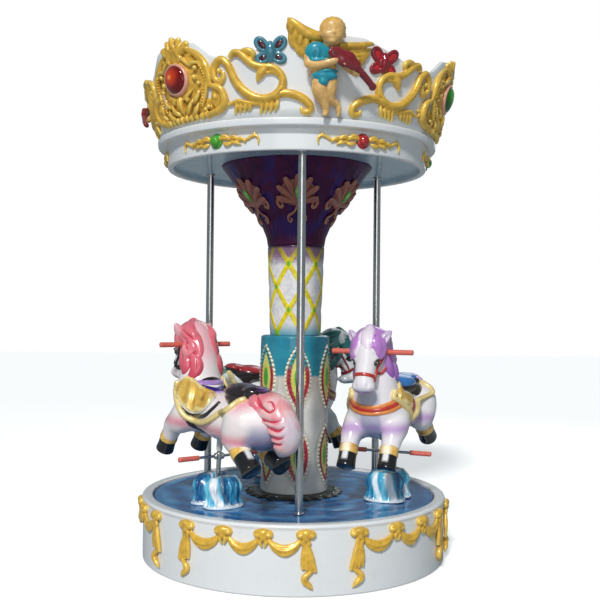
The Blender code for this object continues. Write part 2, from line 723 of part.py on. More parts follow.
def build_horse_pieces():
    """The body, saddle, handlebar and strut with its foot bar, drawn level."""
    body = build_horse_body()
    saddle = melted([ball("seat", (-0.195, 0, 0.838), (0.105, 0.088, 0.046)),
                     ball("cantle", (-0.275, 0, 0.862), (0.030, 0.062, 0.026))],
                    0.008, 90, "saddle", 2)
    clearance = inflated(copy_of(body, "clearance"), SADDLE_GAP, "clearance")
    saddle = combine(saddle, [clearance, copy_of(body, "core")], "DIFFERENCE", "saddle")
    handle = cylinder("handlebar", HANDLE_RADIUS, (HANDLE_FORWARD, -HANDLE_HALF, HANDLE_HEIGHT),
                      (HANDLE_FORWARD, HANDLE_HALF, HANDLE_HEIGHT))
    handle_hole = cylinder("hole", HANDLE_RADIUS + SEAT_GAP,
                           (HANDLE_FORWARD, -0.5, HANDLE_HEIGHT),
                           (HANDLE_FORWARD, 0.5, HANDLE_HEIGHT))
    strut_hole = cylinder("hole", STRUT_RADIUS + SEAT_GAP, (0, 0, 0.40),
                          (0, 0, STRUT_TOP + SEAT_GAP))
    body = combine(body, [handle_hole, strut_hole], "DIFFERENCE", "horse_body")

    knuckle_half = SLOT_WIDTH / 2 - SEAT_GAP
    strut = cylinder("strut", STRUT_RADIUS, (0, 0, PIVOT_HEIGHT), (0, 0, STRUT_TOP))
    parts = [
        cylinder("knuckle", KNUCKLE_RADIUS, (0, -knuckle_half, PIVOT_HEIGHT),
                 (0, knuckle_half, PIVOT_HEIGHT)),
        box("clamp", (-0.016, -0.022, FOOT_BAR_HEIGHT - 0.016),
            (0.016, 0.022, FOOT_BAR_HEIGHT + 0.016)),
        cylinder("bar", 0.007, (0, -FOOT_BAR_HALF + 0.01, FOOT_BAR_HEIGHT),
                 (0, FOOT_BAR_HALF - 0.01, FOOT_BAR_HEIGHT), 8),
    ]
    for side in (-1, 1):
        parts.append(cylinder("grip", 0.012, (0, side * FOOT_GRIP_START, FOOT_BAR_HEIGHT),
                              (0, side * FOOT_BAR_HALF, FOOT_BAR_HEIGHT), 8))
    strut = combine(strut, parts, "UNION", "strut")
    pieces = (("horse", body), ("saddle", saddle), ("handlebar", handle), ("strut", strut))
    for _, piece in pieces:
        piece.data.transform(Matrix.Translation((0, 0, -PIVOT_HEIGHT)))
    return pieces


def build_horses():
    pieces = build_horse_pieces()
    block = build_wave_block()
    for number in THIRDS:
        angle = HORSE_ANGLE + 120 * number
        heading = math.radians(angle - HORSE_TOE_IN + 180)
        spot = direction(angle) * HORSE_CIRCLE
        stand = as_object(f"wave_block_{number + 1}", block.data.copy())
        place(stand, WAVE_BLUE, spot)
        stand.rotation_euler = (0, 0, heading)
        pivot = bpy.data.objects.new(f"rock_pivot_{number + 1}", None)
        CAROUSEL.objects.link(pivot)
        pivot.location = spot + Vector((0, 0, PIVOT_HEIGHT))
        pivot.rotation_euler = (0, -math.radians(REST_ROCK[number]), heading)
        paints = {"horse": HORSE_PAINTS[number], "saddle": SADDLE_PAINTS[number],
                  "handlebar": GRIP_RED, "strut": STEEL}
        for name, piece in pieces:
            copy = as_object(f"{name}_{number + 1}", piece.data.copy())
            place(copy, paints[name], parent=pivot)
            copy.hide_render = False
            copy.display_type = "TEXTURED"
    for piece in [*(piece for _, piece in pieces), block]:
        bpy.data.objects.remove(piece, do_unlink=True)


build_base()
build_deck()
build_column()
build_canopy()
build_crown()
build_poles()
build_horses()
for piece in CAROUSEL.objects:
    piece.hide_render = False
    piece.display_type = "TEXTURED"
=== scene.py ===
# %% [markdown]
# # A small carousel, dressed for the camera
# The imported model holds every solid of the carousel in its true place. This lesson leaves those
# solids alone and lays a finer skin over each one that shows: smooth mouldings, carved scrolls,
# painted horses. Each skin rides on the same moving body as the solid that it stands for.

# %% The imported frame
import math

import bmesh
import bpy
import numpy as np
from mathutils import Matrix, Vector


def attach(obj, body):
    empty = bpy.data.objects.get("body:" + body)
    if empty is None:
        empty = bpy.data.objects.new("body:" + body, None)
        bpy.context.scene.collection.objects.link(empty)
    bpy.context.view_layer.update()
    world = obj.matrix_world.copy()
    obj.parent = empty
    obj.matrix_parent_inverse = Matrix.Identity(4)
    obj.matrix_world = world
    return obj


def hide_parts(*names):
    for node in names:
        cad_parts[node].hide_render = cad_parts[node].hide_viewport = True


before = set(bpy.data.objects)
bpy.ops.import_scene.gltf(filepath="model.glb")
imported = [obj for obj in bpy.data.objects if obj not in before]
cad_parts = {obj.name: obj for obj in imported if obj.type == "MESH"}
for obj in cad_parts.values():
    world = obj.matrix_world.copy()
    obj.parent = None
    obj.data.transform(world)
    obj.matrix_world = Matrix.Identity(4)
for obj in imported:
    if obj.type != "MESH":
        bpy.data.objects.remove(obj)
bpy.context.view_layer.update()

# %% [markdown]
# ## Wiring nodes as sums
# A paint is a little graph of nodes. Drawn by hand, the graph for one stripe is a dozen boxes.
# Here a class wraps an output socket and overloads Python's operators, so that a stripe is one
# expression, and one method adds every other node.


# %% Sockets that can be added and multiplied
class Wire:
    """An output socket that can stand in a Python expression."""

    def __init__(self, wiring, socket):
        self.wiring, self.socket = wiring, socket

    def math(self, operation, other=0.0, swapped=False):
        pair = (other, self) if swapped else (self, other)
        return self.wiring.node("ShaderNodeMath", {"operation": operation}, *pair)

    def __add__(self, other):
        return self.math("ADD", other)

    def __sub__(self, other):
        return self.math("SUBTRACT", other)

    def __rsub__(self, other):
        return self.math("SUBTRACT", other, True)

    def __mul__(self, other):
        return self.math("MULTIPLY", other)

    __radd__ = __add__
    __rmul__ = __mul__

    def rise(self, low, high):
        """0 below low, 1 above high, and smooth between."""
        return self.wiring.node("ShaderNodeMapRange", {"interpolation_type": "SMOOTHSTEP"}, self, low, high)

    def band(self, low, high, soft):
        return self.rise(low - soft, low + soft) * (1 - self.rise(high - soft, high + soft))

    def mix(self, first, second):
        """The first colour where this is 0, and the second where it is 1."""
        made = self.wiring.node("ShaderNodeMix", {"data_type": "RGBA"}).socket.node
        for index, value in ((0, self), (6, first), (7, second)):
            self.wiring.feed(made.inputs[index], value)
        return Wire(self.wiring, made.outputs[2])

    def noise(self, scale, detail=2.0, rough=.5):
        return self.wiring.node("ShaderNodeTexNoise", None, Vector=self, Scale=scale, Detail=detail,
                Roughness=rough)


# %% Node trees that are filled by name
class Wiring:
    """A node tree, for a paint or for a shape."""

    def __init__(self, tree):
        self.tree = tree

    def feed(self, socket, value):
        if isinstance(value, Wire):
            self.tree.links.new(value.socket, socket)
        elif value is not None:
            if socket.type == "RGBA" and len(value) == 3:
                value = (*value, 1.0)
            socket.default_value = value

    def node(self, kind, settings=None, *values, out=0, **named):
        made = self.tree.nodes.new(kind)
        for key, value in (settings or {}).items():
            if key == "stops":
                stops = made.color_ramp.elements
                while len(stops) < len(value):
                    stops.new(1.0)
                for stop, (position, colour) in zip(stops, value):
                    stop.position, stop.color = position, (*colour, 1.0)
            else:
                setattr(made, key, value)
        for index, value in enumerate(values):
            self.feed(made.inputs[index], value)
        for key, value in named.items():
            self.feed(made.inputs[key.replace("_", " ")], value)
        return Wire(self, made.outputs[out])


class Paint(Wiring):
    """A material: its plain sockets are set here, and its patterns are wired later."""

    def __init__(self, name, colour, roughness=.25, metallic=0.0, coat=0.0, **plain):
        self.material = bpy.data.materials.new(name)
        self.material.use_nodes = True
        super().__init__(self.material.node_tree)
        self.shader = self.tree.nodes["Principled BSDF"]
        self.shader.inputs["Coat Roughness"].default_value = .05
        self.lay(Base_Color=colour, Roughness=roughness, Metallic=metallic, Coat_Weight=coat, **plain)

    def lay(self, **named):
        for key, value in named.items():
            self.feed(self.shader.inputs[key.replace("_", " ")], value)
        return self

    def place(self):
        return Wire(self, self.node("ShaderNodeTexCoord").socket.node.outputs["Object"])

    def mark(self, name, out="Fac"):
        made = self.node("ShaderNodeAttribute", {"attribute_name": name}).socket.node
        return Wire(self, made.outputs[out])

    def marks(self, name):
        return self.split(self.mark(name, "Vector"))

    def split(self, vector):
        made = self.node("ShaderNodeSeparateXYZ", None, vector).socket.node
        return [Wire(self, made.outputs[axis]) for axis in range(3)]

    def bump(self, height, distance, strength=1.0):
        return self.lay(Normal=self.node("ShaderNodeBump", None, Height=height, Distance=distance,
                Strength=strength))


# %% [markdown]
# ## Shapes as arrays
# Every moulding starts as arrays of points in numpy: a profile spun round the axis, a tube along
# a path, or clay. A shape also carries marks, numbers at each point that its paint can read.


# %% A shape with its marks
class Shape:
    """Points and faces of one closed shell, with marks for its paint."""

    def __init__(self, points, faces, **marks):
        self.points = np.asarray(points, float)
        self.faces = np.asarray(faces, int)
        self.marks = {name: np.asarray(values, float) for name, values in marks.items()}

    def moved(self, change):
        return Shape(change(self.points), self.faces, **self.marks)

    def volume(self):
        quads = self.points[self.faces]
        halves = (quads[:, [0, 1, 2]], quads[:, [0, 2, 3]])
        return sum(np.einsum("ij,ij->", t[:, 0], np.cross(t[:, 1], t[:, 2])) for t in halves) / 6

    def outward(self):
        if self.volume() < 0:
            self.faces = self.faces[:, ::-1]
        return self

    def normals(self):
        quads = self.points[self.faces]
        across = np.cross(quads[:, 2] - quads[:, 0], quads[:, 3] - quads[:, 1])
        total = np.zeros_like(self.points)
        for corner in range(4):
            np.add.at(total, self.faces[:, corner], across)
        return total / np.maximum(np.linalg.norm(total, axis=1, keepdims=True), 1e-12)

    def relaxed(self, rounds, strength=.5):
        """Soften the shell by moving each point towards its neighbours."""
        points = self.points.copy()
        starts = self.faces.ravel()
        ends = np.roll(self.faces, -1, axis=1).ravel()
        keep = starts != ends
        starts, ends = starts[keep], ends[keep]
        count = np.bincount(starts, minlength=len(points)) + np.bincount(ends, minlength=len(points))
        for _ in range(rounds):
            total = np.zeros_like(points)
            np.add.at(total, starts, points[ends])
            np.add.at(total, ends, points[starts])
            points += strength * (total / np.maximum(count, 1)[:, None] - points)
        return Shape(points, self.faces, **self.marks)


# %% From arrays to a piece that rides on its body
KINDS = {1: ("FLOAT", "value"), 3: ("FLOAT_VECTOR", "vector")}


def marked(mesh, mark, values, wide):
    """Keep a mark on a mesh's points."""
    kind, key = KINDS[wide]
    mesh.attributes.new(mark, kind, "POINT").data.foreach_set(key, np.ravel(values))


def in_scene(name, mesh):
    obj = bpy.data.objects.new(name, mesh)
    bpy.context.scene.collection.objects.link(obj)
    return obj


def corners(faces):
    """Faces without doubled corners, which is how a shape writes a triangle."""
    return [[c for i, c in enumerate(face) if c != face[i - 1]] for face in faces.tolist()]


def piece(name, shapes, paints, body, nodes=(), sharp=None):
    """Join shells into one object, with one paint or one for each shell."""
    paints = paints if isinstance(paints, list) else [paints] * len(shapes)
    points, faces, start = [], [], 0
    for shape in shapes:
        shape.outward()
        points.append(shape.points)
        faces.append(shape.faces + start)
        start += len(shape.points)
    mesh = bpy.data.meshes.new(name)
    mesh.from_pydata(np.vstack(points).tolist(), [], [face for face in corners(np.vstack(faces))
            if len(face) > 2])
    kinds = list(dict.fromkeys(paints))
    for paint in kinds:
        mesh.materials.append(paint.material)
    if len(kinds) > 1:
        owner = np.concatenate([np.full(len(s.points), kinds.index(p)) for s, p in zip(shapes, paints)])
        mesh.polygons.foreach_set("material_index", [owner[p.vertices[0]] for p in mesh.polygons])
    for mark in sorted({mark for shape in shapes for mark in shape.marks}):
        wide = max(s.marks[mark].size // len(s.points) for s in shapes if mark in s.marks)
        filled = [s.marks.get(mark, np.zeros((len(s.points), wide))).reshape(-1, wide) for s in shapes]
        marked(mesh, mark, np.vstack(filled), wide)
    mesh.shade_smooth()
    if sharp:
        mesh.set_sharp_from_angle(angle=math.radians(sharp))
    print(f"{name}: {sum(len(p.vertices) - 2 for p in mesh.polygons)} triangles")
    return ridden(in_scene(name, mesh), body, nodes)


def ridden(obj, body, nodes=()):
    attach(obj, body)
    if nodes:
        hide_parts(*nodes)
    return obj


# %% [markdown]
# ## Points in millimetres
# A maker measures in millimetres, and Blender in metres. A long path is easier to read as text,
# "12 0 40, 15 3 52", so every shape below takes its points either way. What stands on both sides
# is drawn once, and read through a mirror for the other side.


# %% Reading points
def numbers(text):
    """A row for every comma, or one row."""
    rows = [row.split() for row in text.split(",")]
    return np.array(rows if len(rows) > 1 else rows[0], float)


def mm(points):
    """Numbers in metres, or text in millimetres with a comma between points."""
    return numbers(points) / 1000 if isinstance(points, str) else np.asarray(points, float)


def mirror(side, axis=0):
    """Read points, and flip them along an axis where the side is -1."""
    sign = np.ones(3)
    sign[axis] = side
    return lambda points: mm(points) * sign


# %% [markdown]
# ## Lofts, turnings and tubes
# A loft joins rings of points. A turned moulding is a loft of one profile at many angles, and a
# tube is a loft of circles that a path carries along.


# %% Lofts
def loft(rings, joined=False, **marks):
    """Skin a row of closed rings; the two ends are closed with fans of thin quads."""
    rings = np.asarray(rings, float)
    rows, count = rings.shape[:2]
    index = np.arange(rows * count).reshape(rows, count)
    after = np.roll(index, -1, axis=1)
    top = np.roll(index, -1, axis=0) if joined else index[1:]
    over = np.roll(after, -1, axis=0) if joined else after[1:]
    base, side = (index, after) if joined else (index[:-1], after[:-1])
    faces = [np.stack([base, side, over, top], -1).reshape(-1, 4)]
    points = rings.reshape(-1, 3)
    marks = {name: np.asarray(v, float).reshape(rows * count, -1) for name, v in marks.items()}
    if not joined:
        for row, flip in ((0, False), (-1, True)):
            middle = len(points)
            points = np.vstack([points, rings[row].mean(0)])
            marks = {n: np.vstack([v, v.reshape(-1, v.shape[1])[index[row]].mean(0)]) for n,
                    v in marks.items()}
            ring, following = index[row], after[row]
            hub = np.full(count, middle)
            fan = [following, ring, hub, hub] if not flip else [ring, following, hub, hub]
            faces.append(np.stack(fan, -1))
    return Shape(points, np.vstack(faces), **marks)


def rounded(profile, radius, steps=4):
    """Round the corners of a (radius, height) profile."""
    profile = mm(profile)
    made = [profile[0]]
    for before, corner, after in zip(profile, profile[1:], profile[2:]):
        back, ahead = before - corner, after - corner
        reach = min(radius, .45 * np.linalg.norm(back), .45 * np.linalg.norm(ahead))
        start = corner + back / np.linalg.norm(back) * reach
        end = corner + ahead / np.linalg.norm(ahead) * reach
        for t in np.linspace(0, 1, steps):
            made.append(start * (1 - t) ** 2 + 2 * corner * t * (1 - t) + end * t * t)
    return np.array(made + [profile[-1]])


def turning(profile, steps=144):
    """Spin a profile from axis to axis into a closed shell."""
    angles = np.linspace(0, 2 * math.pi, steps, endpoint=False)
    radius, height = np.asarray(profile, float)[1:-1].T
    rings = np.stack([radius[:, None] * np.sin(angles), -radius[:, None] * np.cos(angles),
            np.repeat(height[:, None], steps, 1)], -1)
    return loft(rings)


# %% Tubes
def smooth_path(points, count):
    """An even count of points on a soft curve through a few."""
    points = mm(points)
    points = points if points.ndim > 1 else points[:, None]
    ends = np.vstack([2 * points[0] - points[1], points, 2 * points[-1] - points[-2]])
    spots = np.linspace(0, len(points) - 1, count)
    span = np.minimum(spots.astype(int), len(points) - 2)
    t = (spots - span)[:, None]
    a, b, c, d = (ends[span + i] for i in range(4))
    return .5 * (2 * b + (c - a) * t + (2 * a - 5 * b + 4 * c - d) * t * t + (3 * b - a - 3 * c + d)
            * t ** 3)


def tube(path, radii, count=24, sides=12, ridges=0, depth=0.0, twist=0.0):
    """Sweep a circle, round-ended, along a soft path; ridges run along it like combed hair."""
    spine = smooth_path(path, count)
    size = np.maximum(smooth_path(radii, count)[:, 0], 1e-4)
    ahead = np.gradient(spine, axis=0)
    ahead /= np.linalg.norm(ahead, axis=1, keepdims=True)
    ends = []
    for end, way, shares in ((0, -1, (.04, .5, .85)), (-1, 1, (.85, .5, .04))):
        reach = [way * (ahead[end] * size[end] * math.sqrt(1 - s * s) * .8) for s in shares]
        ends.append(([spine[end] + r for r in reach], [size[end] * s for s in shares], [ahead[end]] * 3))
    spine, size, ahead = (np.concatenate([ends[0][i], along, ends[1][i]]) for i,
            along in enumerate((spine, size, ahead)))
    side, sides_along = np.cross(ahead[0], [0, 0, 1] if abs(ahead[0][2]) < .9 else [1, 0, 0]), []
    for direction in ahead:
        side = side - direction * (side @ direction)
        side /= np.linalg.norm(side)
        sides_along.append(side)
    side = np.array(sides_along)
    rise = np.cross(side, ahead)
    angles = np.linspace(0, 2 * math.pi, sides, endpoint=False)
    travel = np.concatenate([[0], np.cumsum(np.linalg.norm(np.diff(spine, axis=0), axis=1))])
    turn = angles[None] + twist * travel[:, None]
    spread = 1 + depth * np.cos(ridges * angles[None]) * np.ones_like(turn)
    ring = (np.cos(turn) * spread)[..., None] * side[:, None] + (np.sin(turn) * spread)[..., None] * rise[:,
            None]
    return loft(spine[:, None] + ring * size[:, None, None])


def pebble(centre, sizes, rings=10, sides=16):
    """A smooth ellipsoid."""
    polar = np.linspace(.12, math.pi - .12, rings)
    angles = np.linspace(0, 2 * math.pi, sides, endpoint=False)
    shell = np.stack([np.sin(polar)[:, None] * np.cos(angles), np.sin(polar)[:, None] * np.sin(angles),
            np.repeat(np.cos(polar)[:, None], sides, 1)], -1) * np.asarray(sizes, float)
    return loft(shell + np.asarray(centre, float))


# %% [markdown]
# ## Clay
# Fibreglass figures have no edges: one form melts into the next. A grid of distances does the
# same. Each lump writes its distance into the grid, a soft minimum blends it with what is there,
# and the zero level is skinned with quads.


# %% A grid of clay
class Clay:
    def __init__(self, low, high, cell):
        self.low, self.cell = mm(low), cell
        self.size = np.ceil((mm(high) - self.low) / cell).astype(int) + 1
        self.field = np.full(self.size, .2)
        self.axes = [self.low[i] + cell * np.arange(self.size[i]) for i in range(3)]

    def near(self, low, high):
        """The part of the grid round a lump."""
        start = np.clip(((low - self.low) / self.cell).astype(int) - 1, 0, self.size - 2)
        stop = np.clip(((high - self.low) / self.cell).astype(int) + 2, start + 1, self.size)
        part = tuple(slice(a, b) for a, b in zip(start, stop))
        grid = np.meshgrid(*(axis[span] for axis, span in zip(self.axes, part)), indexing="ij")
        return part, np.stack(grid, -1)

    def press(self, part, distance, blend, carve=False):
        held = self.field[part]
        sign = -1 if carve else 1
        first, second = sign * held, distance
        share = np.clip(.5 + .5 * (second - first) / blend, 0, 1)
        melted = second * (1 - share) + first * share - blend * share * (1 - share)
        self.field[part] = sign * melted

    def ball(self, centre, sizes, blend=.02, carve=False, roll=0.0):
        """An ellipsoid, rolled about the X axis by some degrees."""
        sizes, centre = mm(sizes), mm(centre)
        reach = sizes.max() + 2.5 * blend
        part, grid = self.near(centre - reach, centre + reach)
        turn = np.array(Matrix.Rotation(math.radians(roll), 3, "X"))
        local = (grid - centre) @ turn
        outer = np.linalg.norm(local / sizes, axis=-1)
        slope = np.maximum(np.linalg.norm(local / sizes ** 2, axis=-1), 1e-6)
        self.press(part, outer * (outer - 1) / slope, blend, carve)
        return self

    def limb(self, start, start_radius, end, end_radius, blend=.02, carve=False):
        start, end = mm(start), mm(end)
        reach = max(start_radius, end_radius) + 2.5 * blend
        part, grid = self.near(np.minimum(start, end) - reach, np.maximum(start, end) + reach)
        along = end - start
        t = np.clip((grid - start) @ along / max(along @ along, 1e-12), 0, 1)
        gap = np.linalg.norm(grid - start - t[..., None] * along, axis=-1)
        self.press(part, gap - start_radius - (end_radius - start_radius) * t, blend, carve)
        return self

    def trail(self, path, radii, count, blend=.02, carve=False):
        """A limb along a soft path; the pieces of the path join without swelling."""
        spine, size = smooth_path(path, count), smooth_path(radii, count)[:, 0]
        reach = size.max() + 2.5 * blend
        part, grid = self.near(spine.min(0) - reach, spine.max(0) + reach)
        best = np.full(grid.shape[:-1], 9.0)
        for a, b, ra, rb in zip(spine, spine[1:], size, size[1:]):
            along = b - a
            t = np.clip((grid - a) @ along / max(along @ along, 1e-12), 0, 1)
            gap = np.linalg.norm(grid - a - t[..., None] * along, axis=-1) - ra - (rb - ra) * t
            best = np.minimum(best, gap)
        self.press(part, best, blend, carve)
        return self

    def read(self, points):
        """Distances at any points."""
        spot = (np.asarray(points, float) - self.low) / self.cell
        base = np.clip(np.floor(spot).astype(int), 0, self.size - 2)
        part = np.clip(spot - base, 0, 1)
        total = 0
        for corner in np.ndindex(2, 2, 2):
            weight = np.prod(np.where(np.array(corner), part, 1 - part), axis=-1)
            i, j, k = (base + corner).T
            total = total + weight * self.field[i, j, k]
        return total

    def slope(self, points):
        step = np.eye(3) * self.cell
        rise = np.stack([self.read(points + step[i]) - self.read(points - step[i]) for i in range(3)], -1)
        return rise / np.maximum(np.linalg.norm(rise, axis=-1, keepdims=True), 1e-9)

    def settle(self, points, proud=0.0, rounds=6):
        """Move points on to the skin, or proud of it."""
        points = np.array(points, float)
        for _ in range(rounds):
            points -= (self.read(points) - proud)[:, None] * self.slope(points)
        return points

    def meet(self, points, aim, reach=.16):
        """Slide points in from outside, against the aim, until they touch the skin."""
        aim = np.asarray(aim, float) / np.linalg.norm(aim)
        points = np.asarray(points, float) + reach * aim
        for _ in range(40):
            points = points - .9 * self.read(points)[:, None] * aim
        return points

    def cast(self, scale, rounds=3):
        return shade_marked(self.skin(), scale, rounds)

    def relief(self, scale, rounds=3, depth=.002):
        """Cast only what stands in front of the wall, and a little behind its face."""
        self.field = np.maximum(self.field, -(self.axes[1] + depth)[None, :, None])
        return self.cast(scale, rounds)

    def skin(self):
        """Surface nets: a quad wherever two neighbouring grid points disagree."""
        field = np.pad(self.field, 1, constant_values=.2)
        inside = field < 0
        cells = tuple(s - 1 for s in field.shape)
        total, hits = np.zeros(cells + (3,)), np.zeros(cells)
        for axis in range(3):
            others = [i for i in range(3) if i != axis]
            for shift in np.ndindex(2, 2):
                offset = [0, 0, 0]
                offset[others[0]], offset[others[1]] = shift
                first = tuple(slice(o, o + c) for o, c in zip(offset, cells))
                offset[axis] = 1
                second = tuple(slice(o, o + c) for o, c in zip(offset, cells))
                a, b = field[first], field[second]
                crossing = inside[first] != inside[second]
                t = np.where(crossing, a / np.where(crossing, a - b, 1), 0)
                spot = np.zeros(cells + (3,))
                spot[..., axis] = t
                spot[..., others[0]], spot[..., others[1]] = shift
                total += spot * crossing[..., None]
                hits += crossing
        used = np.argwhere(hits > 0)
        number = np.full(cells, -1)
        number[tuple(used.T)] = np.arange(len(used))
        points = self.low + self.cell * (used - 1 + total[tuple(used.T)] / hits[tuple(used.T)][:, None])
        faces = []
        for axis in range(3):
            others = [i for i in range(3) if i != axis]
            lower, upper = [slice(1, -1)] * 3, [slice(1, -1)] * 3
            lower[axis], upper[axis] = slice(0, -1), slice(1, None)
            change = inside[tuple(lower)].astype(int) - inside[tuple(upper)]
            where = np.argwhere(change != 0)
            sign = change[tuple(where.T)]
            where[:, others] += 1
            ring = []
            for shift in ((-1, -1), (0, -1), (0, 0), (-1, 0)):
                cell = where.copy()
                cell[:, others[0]] += shift[0]
                cell[:, others[1]] += shift[1]
                ring.append(number[tuple(cell.T)])
            quads = np.stack(ring, -1)
            flip = (sign < 0) != (axis == 1)
            quads[flip] = quads[flip][:, ::-1]
            faces.append(quads)
        return Shape(points, np.vstack(faces)).relaxed(1)


# %% [markdown]
# ## Where things sit
# Every moulding is drawn flat, as across, out and height, and then laid on its round wall. Each
# wall is a function: give it a height and it returns the radius there.


# %% Walls and angles
def wall(*levels):
    radius, height = np.array(sorted(levels, key=lambda level: level[1])).T
    return lambda z: np.interp(z, height, radius)


# Each repeats round the axis; its first one stands at this many degrees from the front.
FESTOONS, PALMETTES, FASCIA_ORNAMENTS = (start + 60 * np.arange(6) for start in (-17.3, 1, -33.6))
PANELS, SHIELDS, POLES, HORSES = (start + 120 * np.arange(3) for start in (12, -46.5, 2.5, -48))
CROWN_MIDDLE, POLE_CIRCLE, HORSE_CIRCLE, PIVOT, FOOT_BAR = 2.19, .515, .48, .38, .523

drum_wall = wall((.745, 0.0), (.745, .3))
fascia_wall = wall((.644, 1.896), (.65, 1.995))
crown_wall = wall((.68, 2.03), (.78, 2.43))
funnel_wall = wall((.142, 1.525), (.15, 1.57), (.176, 1.632), (.214, 1.695), (.262, 1.76), (.308, 1.826),
        (.35, 1.885), (.38, 1.925))


def laid_on(surface, angle, reference):
    """Bend (across, out, height) points round a wall, centred at an angle from the front."""
    def change(points):
        turn = math.radians(angle) + points[:, 0] / float(surface(reference))
        radius = surface(points[:, 2]) + points[:, 1]
        return np.stack([radius * np.sin(turn), -radius * np.cos(turn), points[:, 2]], -1)
    return change


def mirrored(shape):
    return shape.moved(lambda points: points * [-1, 1, 1])


# %% [markdown]
# ## Colour that knows the shape
# Paint is darkened in the hollows as painted shade and lightened on the crests as a painted highlight. A mark
# called hollow holds how sunken each point is, measured from its neighbours, so no picture is needed for it.


# %% The hollow mark
def thinned(shape, share=.27):
    """Collapse the flattest edges until this share of the shell's triangles is left."""
    mesh = bpy.data.meshes.new("shell")
    mesh.from_pydata(shape.points.tolist(), [], corners(shape.faces))
    wide = {mark: values.size // len(shape.points) for mark, values in shape.marks.items()}
    for mark, values in shape.marks.items():
        marked(mesh, mark, values, wide[mark])
    shell = in_scene("shell", mesh)
    collapse = shell.modifiers.new("collapse", "DECIMATE")
    collapse.ratio, collapse.use_collapse_triangulate = share, True
    thin = bpy.data.meshes.new_from_object(shell.evaluated_get(bpy.context.evaluated_depsgraph_get()))
    points = np.empty(len(thin.vertices) * 3)
    thin.vertices.foreach_get("co", points)
    faces = np.empty(len(thin.polygons) * 3, dtype=np.int32)
    thin.polygons.foreach_get("vertices", faces)
    marks = {}
    for mark in shape.marks:
        flat = np.empty(len(thin.vertices) * wide[mark])
        thin.attributes[mark].data.foreach_get(KINDS[wide[mark]][1], flat)
        marks[mark] = flat.reshape(-1, wide[mark]) if wide[mark] > 1 else flat
    bpy.data.objects.remove(shell)
    for used in (mesh, thin):
        bpy.data.meshes.remove(used)
    faces = faces.reshape(-1, 3)
    return Shape(points.reshape(-1, 3), np.hstack([faces, faces[:, 2:]]), **marks)


def shade_marked(shape, scale, rounds=3):
    """Mark each point from -1 on a crest to 1 in a hollow, for painted highlight and painted shade, then thin
    the shell.
    """
    shape.outward()
    far = shape.relaxed(rounds, 1.0).points
    sunk = np.einsum("ij,ij->i", far - shape.points, shape.normals()) / scale
    flat = Shape(np.stack([sunk, sunk, sunk], -1), shape.faces).relaxed(2).points[:, 0]
    shape.marks["hollow"] = np.clip(flat, -1, 1)
    return thinned(shape, .27 if len(shape.faces) > 4000 else .5) if len(shape.faces) > 2500 else shape


# %% Paints for the fibreglass
# The second colour is the painted shade in hollows, and also the colour of dust flecks.
FIBREGLASS, SHADE_AND_DUST = (.8, .815, .82), (.55, .59, .64)


def gelcoat(name, colour=FIBREGLASS, shade=SHADE_AND_DUST, gloss=.22):
    paint = Paint(name, colour, gloss, coat=.35, Specular_IOR_Level=.45)
    where = paint.place()
    cloud = where.noise(3.1, 3.0)
    dust = where.noise(21.0, 4.0, .65).rise(.5, .78) * .16
    # Painted shade: the hollows of each moulding darken towards the shade colour.
    hollow = paint.mark("hollow").rise(.05, .7)
    tone = (cloud.rise(.25, .8) * .1 + dust + hollow * .6).mix(colour, shade)
    paint.lay(Base_Color=tone, Roughness=gloss + .12 * cloud + .15 * dust)
    return paint.bump(where.noise(7.0, 2.0) + .05 * where.noise(160.0, 1.0), .004, .35)


def brushed_and_shaded(name, colour, deep, bright, gloss=.3, metallic=0.0, coat=.25, grain=34.0):
    """Hand-brushed enamel, streaked between, with painted shade in the deep colour in the hollows and a
    painted highlight in the bright colour on the crests.
    """
    paint = Paint(name, colour, gloss, metallic, coat)
    where = paint.place()
    streak = where.noise(grain, 4.0, .6)
    hollow = paint.mark("hollow")
    tone = (streak.rise(.35, .7) * .35).mix(colour, deep)
    # Painted shade: the hollows take the deep colour.
    tone = (hollow + .25 * streak).rise(.16, .75).mix(tone, deep)
    # Painted highlight: the crests take the bright colour.
    tone = ((.12 * streak - hollow).rise(.22, .8) * .75).mix(tone, bright)
    paint.lay(Base_Color=tone, Roughness=gloss + .15 * streak)
    return paint.bump(streak, .0012, .4)


WHITE = gelcoat("white_gelcoat")
GOLD = brushed_and_shaded("gold_paint", (.86, .51, .06), (.17, .07, .012), (1.0, .8, .22), .24, .15)
BLACK = brushed_and_shaded("black_paint", (.01, .01, .011), (.003, .003, .003), (.03, .03, .03), .12, coat=.1)
BLACK.lay(Specular_IOR_Level=.2)
print("walls and first paints ready")

# %% [markdown]
# ## The base drum and its rim
# The drum is a fibreglass moulding with a wide flat rim that the deck turns inside. Its profile
# is turned in 192 steps with rounded corners, where the solid has facets.

# %% The drum
DRUM = rounded("0 2, 745 2, 745 280, 752 292, 745 303, 702 303, 698 296, 698 268, 0 268", .006)
piece("drum_skin", [turning(DRUM, 192)], WHITE, "base", ["base_drum"])

# %% [markdown]
# ## Festoons
# Six gilded drapes hang under the rim, three swags between four bows, with a pleated tail at
# each end. Each pleat is a trail of clay, and the trails melt into folds of cloth.


# %% A festoon in clay
BOWS = (-.272, -.08, .098, .276)


